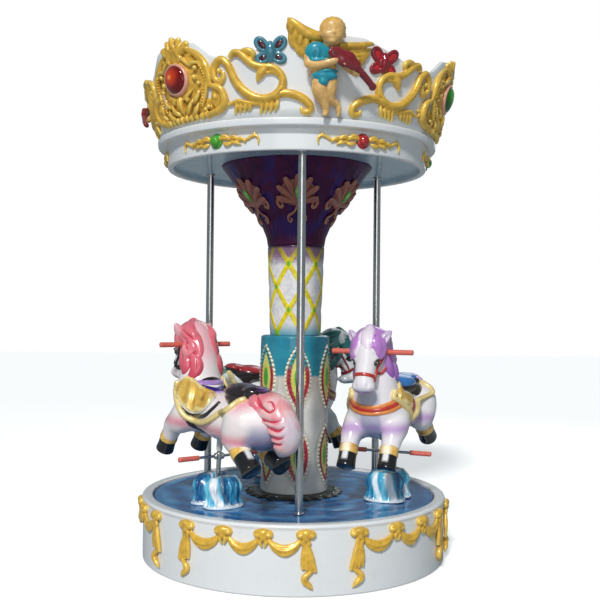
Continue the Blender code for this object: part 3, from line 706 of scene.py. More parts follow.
def festoon():
    clay = Clay("-335 -6 12", "335 36 296", .0032)
    for left, right in zip(BOWS, BOWS[1:]):
        middle = (left + right) / 2
        for drop, size, out, lift in ((.038, .0085, .009, .252), (.05, .0105, .013, .248),
                (.062, .0095, .009, .243)):
            path = [(left + .016, .006, lift), (left + .045, out * .9, lift - drop * .66),
                    (middle, out, lift - drop), (right - .045, out * .9, lift - drop * .66),
                    (right - .016, .006, lift)]
            clay.trail(path, [.005, size * .85, size, size * .85, .005], 24, .003)
    for across in BOWS:
        clay.ball((across, .01, .27), "24 18 19", .004)
        clay.ball((across, .012, .25), "15 14 15", .004)
        for side in (-1, 1):
            clay.ball((across + side * .023, .007, .264), "20 19 19", .003, roll=8)
            clay.trail([(across + side * .003, .028, .256), (across + side * .018, .027, .27),
                    (across + side * .038, .018, .27)], "2 4.5 2", 14, .004, carve=True)
            clay.trail([(across + side * .006, .01, .246), (across + side * .012, .012, .23),
                    (across + side * .005, .009, .208)], "8 9 4", 12, .002)
    for across, sway in ((BOWS[0], -1), (BOWS[-1], 1)):
        for spread in (-1, -.35, .35, 1):
            path = [(across + spread * .006, .008, .238), (across + sway * .006 + spread * .018, .011,
                    .172), (across + sway * .013 + spread * .026, .01, .12 - .006 * sway * spread)]
            clay.trail(path, "6 10.5 8.5", 20, .004)
        curl = [(.026, .01, .112), (-.002, .013, .093), (-.005, .012, .073), (.014, .01, .054),
                (.03, .007, .034)]
        clay.trail([(across + sway * x, y, z) for x, y, z in curl], "7 13 14 12 3", 30, .003)
        clay.trail([(across + sway * x, y + .014, z) for x, y, z in curl[1:4]], "2 4 2", 14, .003,
                carve=True)
    return clay.relief(.005, 10)


FESTOON = festoon()
for number in range(6):
    laid = FESTOON.moved(laid_on(drum_wall, FESTOONS[number], .2))
    piece(f"festoon_relief_{number + 1}", [laid], GOLD, "base", [f"festoon_{number + 1}"])

# %% [markdown]
# ## The deck
# The deck is cast to look like water: low waves in relief under glossy blue paint. A polar grid
# is pushed down by a sum of bent sine waves, and the same height, kept as a mark, picks the blue.


# %% Water in relief
def ripples(x, y):
    """A height from 0 to 1 that reads as water running round the column."""
    turn, radius = np.arctan2(x, -y), np.hypot(x, y)
    bend = .9 * np.sin(3 * turn + 9 * radius) + .6 * np.sin(7 * turn - 16 * radius + 1.3)
    rows = np.sin(38 * radius + 2.0 * bend) + .45 * np.sin(66 * radius + 5 * turn - 2.0 * bend)
    return .5 + .5 * np.tanh(.8 * rows + .25 * np.sin(17 * turn + 23 * radius))


def deck():
    steps = 288
    angles = np.linspace(0, 2 * math.pi, steps, endpoint=False)
    radii = np.concatenate([np.linspace(.04, .2, 4), np.linspace(.22, .685, 72)])
    x, y = radii[:, None] * np.sin(angles), -radii[:, None] * np.cos(angles)
    wave = ripples(x, y)
    calm = np.clip((radii - .235) / .03, 0, 1)[:, None]
    top = np.stack([x, y, .296 - .0035 * (1 - wave) * calm], -1)
    edge = np.array([[.6905, .2945], [.692, .292], [.692, .277], [.2, .276], [.199, .269], [.04, .2683]])
    side = np.stack([edge[:, :1] * np.sin(angles), -edge[:, :1] * np.cos(angles),
            np.repeat(edge[:, 1:], steps, 1)], -1)
    return loft(np.vstack([top, side]), wave=np.vstack([wave, np.full((6, steps), .3)]))


def water():
    paint = Paint("deck_blue", (.03, .14, .5), .2, coat=.2, Specular_IOR_Level=.25)
    where = paint.place()
    x, y, _ = paint.split(where)
    wave, fleck = paint.mark("wave"), where.noise(26.0, 4.0, .6)
    cloud = where.noise(4.0, 3.0)
    tone = paint.node("ShaderNodeValToRGB", {"stops": [(0.0, (.01, .05, .16)), (.38, (.018, .105, .3)),
            (.66, (.035, .19, .44)), (.86, (.09, .34, .6)), (1.0, (.34, .62, .78))]},
            wave * .6 + fleck * .3 + cloud * .16)
    seam = y.band(-.0022, .0022, .0008) * x.rise(.2, .21)
    paint.lay(Base_Color=(seam * .85).mix(tone, (.006, .02, .07)), Roughness=.14 + .16 * fleck)
    return paint.bump(fleck + wave * .5 - seam, .002, .35)


WATER = water()
piece("deck_water", [deck()], WATER, "platform", ["deck"])

# %% [markdown]
# ## The column
# A black pleated flange holds the pedestal to the deck with small bolts. The pedestal is cast
# with ruffled medallions, the shaft with a raised lattice, and both are one fine grid pushed out
# by a height. The height and the distances that make it are kept as marks, so paint and relief
# always agree.


# %% The flange and its bolts
def flange():
    angles = np.linspace(0, 2 * math.pi, 288, endpoint=False)
    pleat = .5 + .5 * np.cos(24 * angles)
    rows = []
    for radius, height, swell in ((.1, .309, 0), (.176, .309, 0.0), (.205, .308, .6), (.228, .305, 1),
            (.238, .3015, 1), (.2405, .2985, 1), (.238, .2965, 1), (.1, .2965, 0)):
        reach = radius * (1 + .02 * np.cos(24 * angles) * swell)
        lift = height - .0035 * (1 - pleat) * swell * (height > .297)
        rows.append(np.stack([reach * np.sin(angles), -reach * np.cos(angles), lift], -1))
    return shade_marked(loft(rows), .002)


piece("flange_pleats", [flange()], BLACK, "platform", ["column_flange"])


# %% Bolts from one tree of nodes
class Tree(Wiring):
    """A tree of Geometry Nodes that sets one small thing at every point of a mesh."""

    def __init__(self, name):
        group = bpy.data.node_groups.new(name, "GeometryNodeTree")
        super().__init__(group)
        group.interface.new_socket("Geometry", in_out="INPUT", socket_type="NodeSocketGeometry")
        group.interface.new_socket("Geometry", in_out="OUTPUT", socket_type="NodeSocketGeometry")
        self.inlet = group.nodes.new("NodeGroupInput")
        self.outlet = group.nodes.new("NodeGroupOutput")

    def size(self, name, value):
        socket = self.tree.interface.new_socket(name, in_out="INPUT", socket_type="NodeSocketFloat")
        socket.default_value = value
        return Wire(self, self.inlet.outputs[name])

    def vector(self, x, y, z):
        return self.node("ShaderNodeCombineXYZ", None, x, y, z)

    def finish(self, instances, paint):
        real = self.node("GeometryNodeRealizeInstances", None, instances)
        self.feed(self.outlet.inputs[0], self.node("GeometryNodeSetMaterial", None, real,
                Material=paint.material))
        return self.tree


# %% Studs on points
def studs(paint):
    """Domed heads, each stretched and scaled, that look along the normals of the points."""
    tree = Tree("studs")
    points = Wire(tree, tree.inlet.outputs[0])
    width, height = tree.size("Width", .01), tree.size("Height", .005)
    head = tree.node("GeometryNodeMeshIcoSphere", None, .5, 3)
    head = tree.node("GeometryNodeTransform", None, head, Scale=tree.vector(width, width, height))
    normal = tree.node("GeometryNodeInputNamedAttribute", {"data_type": "FLOAT_VECTOR"}, "look")
    turn = tree.node("FunctionNodeAlignRotationToVector", {"axis": "Z"}, Vector=normal)
    placed = tree.node("GeometryNodeInstanceOnPoints", None, points, Instance=head, Rotation=turn)
    smooth = tree.node("GeometryNodeSetShadeSmooth", None, tree.node("GeometryNodeRealizeInstances", None,
            placed))
    return tree.finish(smooth, paint)


def scatter(name, tree, points, looks, body, sizes):
    """Run a tree on loose points and keep the plain mesh that it makes."""
    cloud = bpy.data.meshes.new(name + "_points")
    cloud.from_pydata(np.asarray(points).tolist(), [], [])
    marked(cloud, "look", looks, 3)
    maker = in_scene(name + "_points", cloud)
    grow = maker.modifiers.new(name, "NODES")
    grow.node_group = tree
    for item in tree.interface.items_tree:
        if item.in_out == "INPUT" and item.name in sizes:
            grow[item.identifier] = sizes[item.name]
    view = bpy.context.evaluated_depsgraph_get()
    mesh = bpy.data.meshes.new_from_object(maker.evaluated_get(view))
    bpy.data.objects.remove(maker)
    print(f"{name}: {len(points)} set, {len(mesh.polygons)} faces")
    return ridden(in_scene(name, mesh), body, ())


# %% Steel, and the flange's bolts
STEEL = Paint("stainless_steel", (.66, .66, .64), .2, 1.0)
grain = STEEL.place().noise(42.0, 3.0)
STEEL.lay(Roughness=.14 + .16 * grain, Base_Color=grain.mix((.7, .7, .68), (.5, .5, .5)))
STUDS = studs(STEEL)
around = np.radians(np.arange(12) * 30 + 7.5)
spots = np.stack([.214 * np.sin(around), -.214 * np.cos(around), np.full(12, .3068)], -1)
scatter("flange_bolts", STUDS, spots, [(0, 0, 1)] * 12, "platform",
        {"Width": .013, "Height": .009})

# %% [markdown]
# ### The pedestal's medallions
# Each medallion is a pointed lens. A number q is 1 in its middle and 0 on its edge. The outer
# third of the lens is a frill: the wall swells there in waves that follow the edge.


# %% A wall that is pushed out by a pattern
def relief_wall(profile, steps, rows, pattern, name, paint, nodes):
    heights = np.linspace(profile[0][1], profile[-1][1], rows)
    inner = np.interp(heights, [h for _, h in profile], [r for r, _ in profile])
    degrees = np.linspace(-180, 180, steps, endpoint=False) + 180 / steps
    turn, level = np.meshgrid(degrees, heights)
    out, marks = pattern(turn, level)
    edge = np.clip(np.minimum(level - heights[0], heights[-1] - level) / .004, 0, 1)
    radius = inner[:, None] + out * edge
    angle = np.radians(turn)
    rings = np.stack([radius * np.sin(angle), -radius * np.cos(angle), level], -1)
    return piece(name, [loft(rings, pattern=marks)], paint, "platform", nodes)


def repeat(degrees, middle, step):
    """Degrees from the nearest of the repeats."""
    return (degrees - middle + step / 2) % step - step / 2


def soft(value, low, high):
    share = np.clip((value - low) / (high - low), 0, 1)
    return share * share * (3 - 2 * share)


# %% The medallions as distances
def medallions(turn, level):
    across = np.radians(repeat(turn, 5.3, 60)) * .17
    best, side, tall = np.full(turn.shape, -9.0), np.zeros(turn.shape), np.ones(turn.shape)
    for middle, high in ((.876, .166), (.495, .152)):
        up = level - middle
        q = 1 - (up / high) ** 2 - np.abs(across) / .066
        side, tall = np.where(q > best, up, side), np.where(q > best, high, tall)
        best = np.maximum(best, q)
    ruffle = np.sin(side * 314 + 1.6 * np.sign(across) + .8 * np.sin(side * 60))
    core = 1 - (side / .056) ** 2 - (across / .0205) ** 2
    beads = soft(best, -.02, .06) * (1 - soft(best, .13, .2))
    frill = soft(best, .1, .2) * (1 - soft(best, .42, .5))
    out = .0072 * beads * (.55 + .45 * ruffle) + .0046 * frill * (.8 - .2 * ruffle)
    out += .0026 * soft(core, 0.0, .6)
    return out, np.stack([best, ruffle, core], -1)


# %% The pedestal's paint follows the distances
def pedestal_paint():
    paint = Paint("teal_paint", (.02, .33, .47), .2, coat=.4, Specular_IOR_Level=.35)
    where = paint.place()
    height = paint.split(where)[2]
    q, ruffle, core = paint.marks("pattern")
    fleck = where.noise(60.0, 4.0, .62)
    cloud = where.noise(8.0, 3.0)
    body = (cloud.rise(.35, .75) * .5).mix((.8, .78, .72), (.5, .5, .5))
    # Painted shadow: an olive-brown band on the wall just outside each medallion's frill.
    body = (q.band(-.3, -.02, .12) * .35).mix(body, (.4, .34, .18))
    teal = cloud.rise(.3, .7).mix((.016, .2, .3), (.03, .3, .39))
    high = (height + .02 * fleck).rise(.886, .9)
    tone = high.mix(body, teal)
    # The beads are cream on their crests, with olive-brown painted shade between them.
    edge = (ruffle + .8 * fleck).rise(-.35, .5).mix((.34, .22, .08), (.95, .9, .74))
    tone = (q + .03 * ruffle).rise(-.01, .03).mix(tone, edge)
    red = fleck.rise(.3, .7).mix((.26, .012, .03), (.48, .04, .08))
    # Painted shade and highlight: the frill's green is darker in the troughs of its ruffle and lighter on its
    # crests.
    green = (ruffle + fleck).rise(.2, .9).mix((.006, .12, .15), (.03, .36, .36))
    frill = height.rise(.905, .95).mix(red, green)
    tone = (q + .04 * ruffle).rise(.155, .195).mix(tone, frill)
    lens = (cloud + .3 * fleck).rise(.4, .9).mix((.58, .6, .06), (.8, .76, .28))
    tone = (q - .03 * ruffle).rise(.45, .49).mix(tone, lens)
    tone = core.rise(0.0, .5).mix(tone, (.06, .36, .03))
    paint.lay(Base_Color=tone, Roughness=.16 + .2 * fleck)
    return paint.bump(fleck, .0012, .4)


PEDESTAL = [(.17, .31), (.164, .45), (.166, .62), (.174, .86), (.173, 1.03), (.171, 1.074), (.16, 1.08)]
relief_wall(PEDESTAL, 252, 150, medallions, "pedestal_relief", pedestal_paint(), ["pedestal"])

# %% [markdown]
# ### The shaft's lattice
# Two families of slanting lines cross on the shaft. A line's distance is found in the unrolled
# wall, where each family is a sawtooth of angle plus or minus height.


# %% The lattice
def lattice(turn, level):
    first = (turn + 15) / 60 + (level - 1.4335) / .227
    second = (turn + 15) / 60 - (level - 1.4335) / .227
    lines = [np.abs((family + .5) % 1 - .5) for family in (first, second)]
    slope = math.hypot(1 / .137, 1 / .227)
    near = np.minimum(*lines) / slope
    knot = np.hypot(*lines) / slope
    out = .0032 * (1 - soft(near, .0085, .0125)) + .0012 * (1 - soft(knot, .008, .014))
    return out, np.stack([near, knot, level], -1)


# %% The shaft's paint
def shaft_paint():
    paint = Paint("lattice_paint", (.78, .78, .72), .2, coat=.3, Specular_IOR_Level=.35)
    where = paint.place()
    near, knot, height = paint.marks("pattern")
    fleck = where.noise(40.0, 4.0, .6)
    field = fleck.rise(.4, .7).mix((.82, .79, .77), (.62, .62, .66))
    field = ((1 - (height + .02 * fleck).rise(1.08, 1.17)) * .95).mix(field, (.03, .28, .38))
    field = ((height + .03 * fleck).rise(1.425, 1.5) * .9).mix(field, (.17, .06, .15))
    line = fleck.rise(.35, .65).mix((.86, .74, .025), (.66, .5, .015))
    # Painted shade under the canopy: the lines turn olive towards the top.
    line = (height.rise(1.425, 1.5) * .8).mix(line, (.24, .17, .03))
    line = ((1 - height.rise(1.09, 1.13)) * .8).mix(line, (.08, .36, .05))
    tone = (1 - (near + .003 * fleck).rise(.0118, .0148)).mix(field, line)
    tone = (1 - (knot + .006 * fleck).rise(.009, .018)).mix(tone, (.14, .46, .02))
    tone = height.rise(1.505, 1.522).mix(tone, (.05, .01, .045))
    paint.lay(Base_Color=tone, Roughness=.16 + .18 * fleck)
    return paint.bump(fleck, .0012, .4)


SHAFT = [(.1262, 1.0805), (.128, 1.2), (.136, 1.4), (.1395, 1.5248)]
relief_wall(SHAFT, 216, 96, lattice, "shaft_lattice", shaft_paint(), ["shaft"])

# %% [markdown]
# ### The funnel
# Under the canopy the column opens like a trumpet, in deep purple with a painted blue sheen. Six pale
# palmettes climb it. The trumpet has faint flutes, and the palmettes are relief clay.


# %% The funnel and its palmettes
def flutes(turn, level):
    ridge = np.cos(np.radians(turn) * 36) * .5 + .5
    fade = soft(level, 1.53, 1.6) * (1 - soft(level, 1.88, 1.915))
    return -.0022 * ridge * fade, np.stack([ridge * fade, level, ridge], -1)


# %% The funnel's paint
def funnel_paint():
    paint = Paint("deep_purple", (.06, .012, .07), .3, coat=.1, Specular_IOR_Level=.12)
    where = paint.place()
    ridge, height, _ = paint.marks("pattern")
    fleck = where.noise(18.0, 4.0, .6)
    drawn = paint.node("ShaderNodeMapping", None, where, Scale=(16.0, 16.0, 2.5))
    streak = drawn.noise(1.0, 3.0, .6)
    tone = fleck.rise(.3, .7).mix((.08, .008, .05), (.04, .006, .046))
    # Painted reflection: blue streaks stand for the sky's sheen on the glossy purple.
    tone = ((streak + .08 * ridge).rise(.5, .66) * .8).mix(tone, (.036, .02, .15))
    tone = ((1 - height.rise(1.53, 1.6)) * .7).mix(tone, (.07, .01, .04))
    paint.lay(Base_Color=tone, Roughness=.22 + .15 * fleck)
    return paint.bump(fleck, .002, .4)


FUNNEL_LEVELS = [(.142, 1.5256), (.15, 1.57), (.176, 1.632), (.214, 1.695), (.262, 1.76), (.308, 1.826),
        (.35, 1.885), (.3795, 1.9246)]
relief_wall(FUNNEL_LEVELS, 240, 48, flutes, "funnel_flutes", funnel_paint(), ["funnel"])


# %% A palmette in clay
def palmette():
    clay = Clay("-116 -6 1622", "116 26 1850", .0028)
    for angle, reach in ((0, .122), (-24, .118), (24, .118), (-48, .11), (48, .11), (-74, .098),
            (74, .098)):
        c, s = math.cos(math.radians(angle)), math.sin(math.radians(angle))
        path = [(s * reach * share, .006 + .004 * share, 1.712 + c * reach * share) for share in (.12, .5,
                .85, 1.0)]
        clay.trail(path, "4 10 14.5 12", 18, .0015)
        clay.trail([(x, y + .0135, z) for x, y, z in path[:3]], "1.5 4.5 3.5", 14, .002, carve=True)
    clay.ball("0 1 1765", "84 9 60", .004)
    for side in (-1, 1):
        s = mirror(side)
        clay.trail(s("88 8 1742, 106 8 1722, 98 8 1702, 82 8 1706, 84 8 1718"), "9 9 8 7 5", 24, .002)
        clay.trail(s("0 6 1716, 10 7 1688, 30 8 1672, 52 8 1662, 58 8 1644, 44 8 1634, 34 8 1644, "
                "42 8 1651"), "6 6 6.5 7 7 6 5 4", 36, .002)
    return clay.relief(.003, 6, .004)


PALM = brushed_and_shaded("palmette_paint", (.36, .12, .08), (.08, .015, .03), (.6, .34, .2), .3, coat=.1)
GREEN = brushed_and_shaded("green_ornament", (.07, .4, .02), (.02, .16, .01), (.3, .7, .14), .14, coat=.6)
leaf = palmette()
leaves, stones = [], []
for number in range(6):
    bend = laid_on(funnel_wall, PALMETTES[number], 1.76)
    leaves.append(leaf.moved(bend))
    stone = shade_marked(tube("0 14 1738, 0 19 1766, 0 12 1800", "6 12 3", 14, 14), .004)
    stones.append(stone.moved(bend))
piece("funnel_palmettes", leaves + stones, [PALM] * 6 + [GREEN] * 6, "platform", ())

# %% [markdown]
# ## The canopy
# The canopy is one turned moulding: a flat roof with a ledge, a recessed fascia, a lip, and a
# soffit that the poles meet. Leafy ornaments with round stones hang on the fascia.

# %% The canopy and its fascia ornaments
CANOPY = rounded("0 2030, 692 2030, 696 2024, 692 1996, 651 1994, 645 1897, 617 1898, 610 1924, 0 1925",
        .007)


def soffit():
    """White outside, with grey-blue painted shade on the ceiling and on the inside of the lip."""
    paint = Paint("canopy_white", FIBREGLASS, .22, coat=.35, Specular_IOR_Level=.45)
    where = paint.place()
    x, y, z = paint.split(where)
    cloud = where.noise(5.0, 3.0)
    inner = 1 - (x * x + y * y).math("SQRT").rise(.612, .62)
    below = inner * (1 - z.rise(1.93, 1.934))
    tone = (cloud.rise(.3, .8) * .12).mix(FIBREGLASS, SHADE_AND_DUST)
    tone = below.mix(tone, cloud.mix((.3, .46, .58), (.46, .62, .7)))
    paint.lay(Base_Color=tone, Roughness=.22 + .12 * cloud)
    return paint.bump(where.noise(7.0, 2.0) + .05 * where.noise(160.0, 1.0), .004, .35)


piece("canopy_skin", [turning(CANOPY, 192)], soffit(), "platform", ["canopy"])


def leaf(clay, path, width, groove=.35, blend=.004):
    """A leaf that swells and tapers along a path, with a carved midrib."""
    clay.trail(path, [width * .45, width, width * .85, width * .25], 14, blend)
    proud = mm(path) + (0, width * .95, 0)
    return clay.trail(proud, [width * groove * .5, width * groove, width * .1], 14, .002, carve=True)


# %% A fascia ornament in clay
def fascia_ornament():
    clay = Clay("-222 -6 1905", "222 34 1992", .003)
    for side in (-1, 1):
        s = mirror(side)
        leaf(clay, s("22 6 1952, 52 11 1962, 86 7 1944"), .0135, .3)
        leaf(clay, s("40 6 1938, 64 10 1930, 92 6 1938"), .01, .3)
        leaf(clay, s("74 6 1952, 98 11 1958, 124 6 1942"), .0105, .3)
        leaf(clay, s("82 6 1938, 106 10 1934, 130 6 1924"), .0085, .3)
        leaf(clay, s("112 6 1950, 134 10 1950, 152 6 1930"), .0085, .3)
        clay.trail([(side * x, .006, z) for x, z in ((.118, 1.944), (.152, 1.944), (.178, 1.958),
                (.199, 1.96), (.21, 1.945), (.208, 1.924))], "6 6.5 7.5 7 6 4", 34, .002)
        clay.trail(s("190 6 1960, 196 7 1978"), "6 3", 8, .002)
    return clay.relief(.004, 8)


RED = brushed_and_shaded("red_ornament", (.5, .012, .015), (.1, .004, .006), (.9, .2, .14), .12, coat=.8)
ARMS = fascia_ornament()
STONE = [shade_marked(pebble((0, .002, 1.949), (.034, .014, .034), rings=16, sides=32), .02),
        shade_marked(pebble((0, .012, 1.949), (.0245, .02, .0245), rings=16, sides=28), .02)]
for number in range(6):
    bend = laid_on(fascia_wall, FASCIA_ORNAMENTS[number], 1.95)
    stone = (GREEN, RED)[number % 2]
    piece(f"fascia_relief_{number + 1}", [ARMS.moved(bend)] + [part.moved(bend) for part in STONE],
          [GOLD, stone, stone], "platform", [f"fascia_ornament_{number + 1}"])

# %% [markdown]
# ## The crown wall
# Three flaring panels make the crown. Each is a loft: at every angle a thin upright section with
# a rounded top edge, whose height follows the panel's outline.


# %% Crown panels
def panel(middle, top=wall((2.368, 0), (2.364, 10), (2.345, 15), (2.325, 21), (2.302, 27), (2.3, 34),
        (2.285, 39), (2.31, 44), (2.37, 50), (2.4, 60))):
    rings = []
    for offset in np.linspace(-59.97, 59.97, 121):
        high = float(top(abs(offset)))
        levels = np.concatenate([np.linspace(2.0305, high - .006, 9), [high - .002, high - .002],
                np.linspace(high - .006, 2.0305, 9)])
        inset = np.concatenate([np.zeros(9), [.003, .015], np.full(9, .018)])
        levels[9:11] += .002
        radius = crown_wall(levels) - inset
        turn = math.radians(middle + offset)
        rings.append(np.stack([radius * math.sin(turn), -radius * math.cos(turn), levels], -1))
    return loft(rings)


for number in range(3):
    piece(f"crown_skin_{number + 1}", [panel(PANELS[number])], WHITE, "platform",
          [f"crown_panel_{number + 1}"])

# %% [markdown]
# ## Scrolls
# Gilded scrollwork runs from each cartouche to the winged child. A volute rolls up into a knob,
# a wide C holds it, bunches of fingers hang below. The right scroll is the left one mirrored.


# %% Scrollwork in clay
def at(offset, out, height):
    return (math.radians(offset) * .72, out, height)


def scroll():
    clay = Clay("-556 -6 2030", "-70 36 2330", .0034)

    def band(path, radii, count, ridge=0.0):
        """A band along (degrees, height) points."""
        path = [(a, z / 1000) for a, z in numbers(path)]
        clay.trail([at(a, .008, z) for a, z in path], radii, count, .002)
        if ridge:
            middle = smooth_path([at(a, 0, z) for a, z in path], count)
            wide = smooth_path(radii, count)[:, 0]
            ahead = np.gradient(middle, axis=0)
            side = np.cross(ahead / np.linalg.norm(ahead, axis=1, keepdims=True), (0, 1, 0))
            for sign in (-1, 1):
                line = middle + sign * side * wide[:, None] * .62
                line[:, 1] = .008 + wide * .92
                clay.trail(line[3:-3], wide[3:-3] * ridge, count, .003, carve=True)

    roll = ("-38 2222, -38.2 2202, -39.9 2188, -41.5 2204, -41.8 2240, -40.2 2268, -37.9 2276, -35.7 2246, "
            "-34.3 2199, -31.9 2153, -28.2 2118, -24.2 2104, -20.3 2115, -17.8 2144, -17.1 2180, -18.4 2213, "
            "-20.9 2231, -24.2 2233, -27.2 2246, -29.6 2272, -31.5 2293, -33.4 2298, -34.7 2286")
    band(roll, "9 12 14 15 15 15 16 18 19 20 20 19 18 18 17 15 14 15 16 16 15 14 11", 150, .16)
    clay.ball(at(-39.5, .004, 2.232), "12 18 13", .002)
    band("-30.6 2298, -28.6 2300, -26.9 2288, -27.4 2268", "12 15 14 8", 30)
    band("-23 2228, -24.6 2208, -25.8 2182", "14 18 8", 20)
    band("-17.8 2150, -17.4 2177, -18.8 2200, -20.7 2212, -22.5 2208", "8 9 9 8 6", 30)
    band("-20.3 2108, -16.8 2125, -13 2119, -9.6 2099, -7.5 2072, -8.2 2051, -10.2 2052, -10.8 2066",
         "12 16 18 18 17 14 12 8", 60, .16)
    band("-38 2088, -35.6 2096, -33 2101, -28.9 2089, -24.1 2088, -20.3 2106", "6 9 11 10 9 8", 50)
    band("-38 2088, -39.6 2098, -39.8 2114, -38.4 2118", "6 8 8 6", 20)
    for finger in range(4):
        for start, low in ((-34.2, 2.052), (-24.6, 2.046)):
            a = start + 1.75 * finger
            clay.trail([at(a + .3, .005, 2.096), at(a, .008, 2.078), at(a - .8, .005, low + .003 * finger)],
                    "8 10.5 6", 12, .0015)
    return clay.relief(.006, 14)


SCROLL = scroll()
for number in range(3):
    bend = laid_on(crown_wall, PANELS[number], CROWN_MIDDLE)
    for word, drawn in (("left", SCROLL), ("right", mirrored(SCROLL))):
        piece(f"scroll_relief_{word}_{number + 1}", [drawn.moved(bend)], GOLD, "platform",
              [f"scroll_{word}_{number + 1}"])

# %% [markdown]
# ## Cartouches
# The shields stand where two panels meet. Rolled edges, a crest of acanthus, flames at the sides
# and lobes below surround a stone in a copper ring with a string of gilt beads.


# %% A shield in clay
def cartouche():
    clay = Clay("-290 -6 2030", "290 50 2424", .0036)
    for centre_and_size in ("0 -4 2225, 172 18 118", "0 -4 2100, 215 16 56", "0 -4 2345, 80 16 64",
            "0 8 2225, 92 20 84"):
        clay.ball(*mm(centre_and_size), .01)
    for side in (-1, 1):
        s = mirror(side)
        clay.trail(s("40 6 2360, 86 0 2342, 124 -2 2320, 156 2 2288, 177 10 2253, 184 11 2216, "
                "184 10 2180"), "8 13 17 18 17 15 9", 60, .003)
        clay.trail(s("4 14 2384, 26 17 2334, 64 18 2300, 92 19 2276, 112 18 2282, 142 17 2276, "
                "163 16 2248, 170 15 2214, 168 15 2180, 152 15 2136, 130 14 2098"),
                "4 8 10 8 8 8 8 7 8 8 5", 80, .002)
        clay.ball(s("122 30 2246"), "24 18 26", .004, carve=True)
        clay.ball(s("122 30 2176"), "22 18 32", .004, carve=True)
        clay.ball(s("62 30 2322"), "18 14 18", .004, carve=True)
        for x, z, r in ((.093, 2.322, .011), (.082, 2.368, .014), (.034, 2.306, .01), (.046, 2.138, .013),
                (.108, 2.222, .012), (.12, 2.26, .011), (.148, 2.082, .01), (.166, 2.092, .009),
                (.128, 2.196, .009), (.12, 2.158, .008)):
            clay.ball(s((x, .016 if z < 2.28 or x < .05 else .001, z)), (r, r, r), .002)
        clay.trail(s("186 10 2176, 210 13 2170, 238 14 2156, 252 14 2126, 248 13 2096, 222 12 2074, "
                "177 11 2062, 120 10 2062"), "10 15 17 18 18 16 14 9", 60, .003)
        clay.ball(s("208 6 2122"), "30 14 40", .004)
        clay.ball(s("208 26 2122"), "20 14 30", .003, carve=True)
        clay.ball(s("204 14 2128"), "9 9 13", .002)
        for a, b, c, width in (((.02, 2.078), (.052, 2.096), (.078, 2.136), .011),
                ((.054, 2.062), (.092, 2.08), (.112, 2.116), .011),
                ((.006, 2.14), (.048, 2.15), (.088, 2.176), .009),
                ((.074, 2.116), (.106, 2.132), (.13, 2.166), .009)):
            leaf(clay, s([(a[0], .01, a[1]), (b[0], .021, b[1]), (c[0], .014, c[1])]), width, .3)
        for toe in range(5):
            x = .016 + .034 * toe
            leaf(clay, s([(x, .008, 2.07), (x + .003, .016, 2.056), (x + .004, .006, 2.042)]), .0115)
    for x, top, out in ((-.076, 2.372, -.004), (.076, 2.372, -.004), (-.04, 2.39, 0.0), (.04, 2.39, 0.0),
            (0, 2.398, .006)):
        clay.trail([(.25 * x, .01, 2.312), (.8 * x, .008, 2.35), (x, out, top)], "8 16 15", 24, .002)
        clay.trail([(.4 * x, .026, 2.33), (.85 * x, .022, 2.36)], "3 4", 12, .003, carve=True)
    leaf(clay, "0 12 2160, 0 24 2118, 0 10 2074", .015)
    clay.ball("0 50 2225", "74 26 64", .004, carve=True)
    return clay.relief(.007, 16)


# %% Stones and their glow
def stone_paint(name, deep, glow, hot):
    """Glassy enamel with a painted glow in its middle and a faint emission; the mark is 1 there and 0 on the
    rim.
    """
    paint = Paint(name, deep, .1, coat=.3, Specular_IOR_Level=.35)
    core = paint.mark("core")
    cloud = paint.place().noise(30.0, 3.0)
    tone = (core + .25 * cloud).rise(.25, .85).mix(deep, glow)
    tone = (core + .2 * cloud).rise(.8, 1.1).mix(tone, hot)
    return paint.lay(Base_Color=tone, Emission_Color=tone, Emission_Strength=.06)


def gem():
    dome = pebble((0, .028, 2.225), (.066, .028, .058), rings=26, sides=48)
    away = np.hypot((dome.points[:, 0] + .006) / .066, (dome.points[:, 2] - 2.234) / .058)
    dome.marks["core"] = 1 - away
    return dome


COPPER = brushed_and_shaded("copper_ring", (.62, .2, .12), (.2, .035, .02), (.9, .48, .34), .25, .1)
STONES = {False: stone_paint("red_gem", (.16, .004, .004), (.62, .05, .01), (1.0, .36, .08)),
        True: stone_paint("green_gem", (.01, .1, .008), (.06, .46, .03), (.46, .86, .2))}
SHIELD, GEM = cartouche(), gem()
circle = np.linspace(0, 2 * math.pi, 49)[:-1]
ring = shade_marked(loft([[(r * math.sin(t), y, 2.226 + (r * .92 - .003) * math.cos(t)) for r,
        y in ((.064, .018), (.064, .03), (.067, .034), (.071, .035), (.076, .032), (.079, .026),
        (.08, .016))] for t in circle], joined=True), .004)
BEADS = studs(GOLD)
for number in range(3):
    bend = laid_on(crown_wall, SHIELDS[number], CROWN_MIDDLE)
    piece(f"shield_relief_{number + 1}", [SHIELD.moved(bend), ring.moved(bend)], [GOLD, COPPER], "platform",
          [f"cartouche_{number + 1}"])
    piece(f"gem_dome_{number + 1}", [GEM.moved(bend)], STONES[number == 1], "platform",
          [f"crown_gem_{number + 1}"])
    row = []
    for side in (-1, 1):
        for path, count in (("150 22 2262, 163 22 2232, 167 20 2202", 6),
                ("150 20 2168, 143 20 2136, 128 18 2108", 6)):
            row += [(side * x, y, z) for x, y, z in smooth_path(path, count)]
    beads = bend(np.array(row))
    looks = bend(np.array(row) + [0, .01, 0]) - beads
    scatter(f"shield_beads_{number + 1}", BEADS, beads, looks, "platform",
            {"Width": .0125, "Height": .0125})

# %% [markdown]
# ## The winged child
# A painted figure stands on each panel and plays the violin. Skin, hair, dress, violin and wings
# are separate lumps of clay, so that each keeps a clean edge where the brush changed colour.


# %% The figure in five clays
def block(cell=.0032):
    return Clay("-215 -6 2030", "215 150 2440", cell)


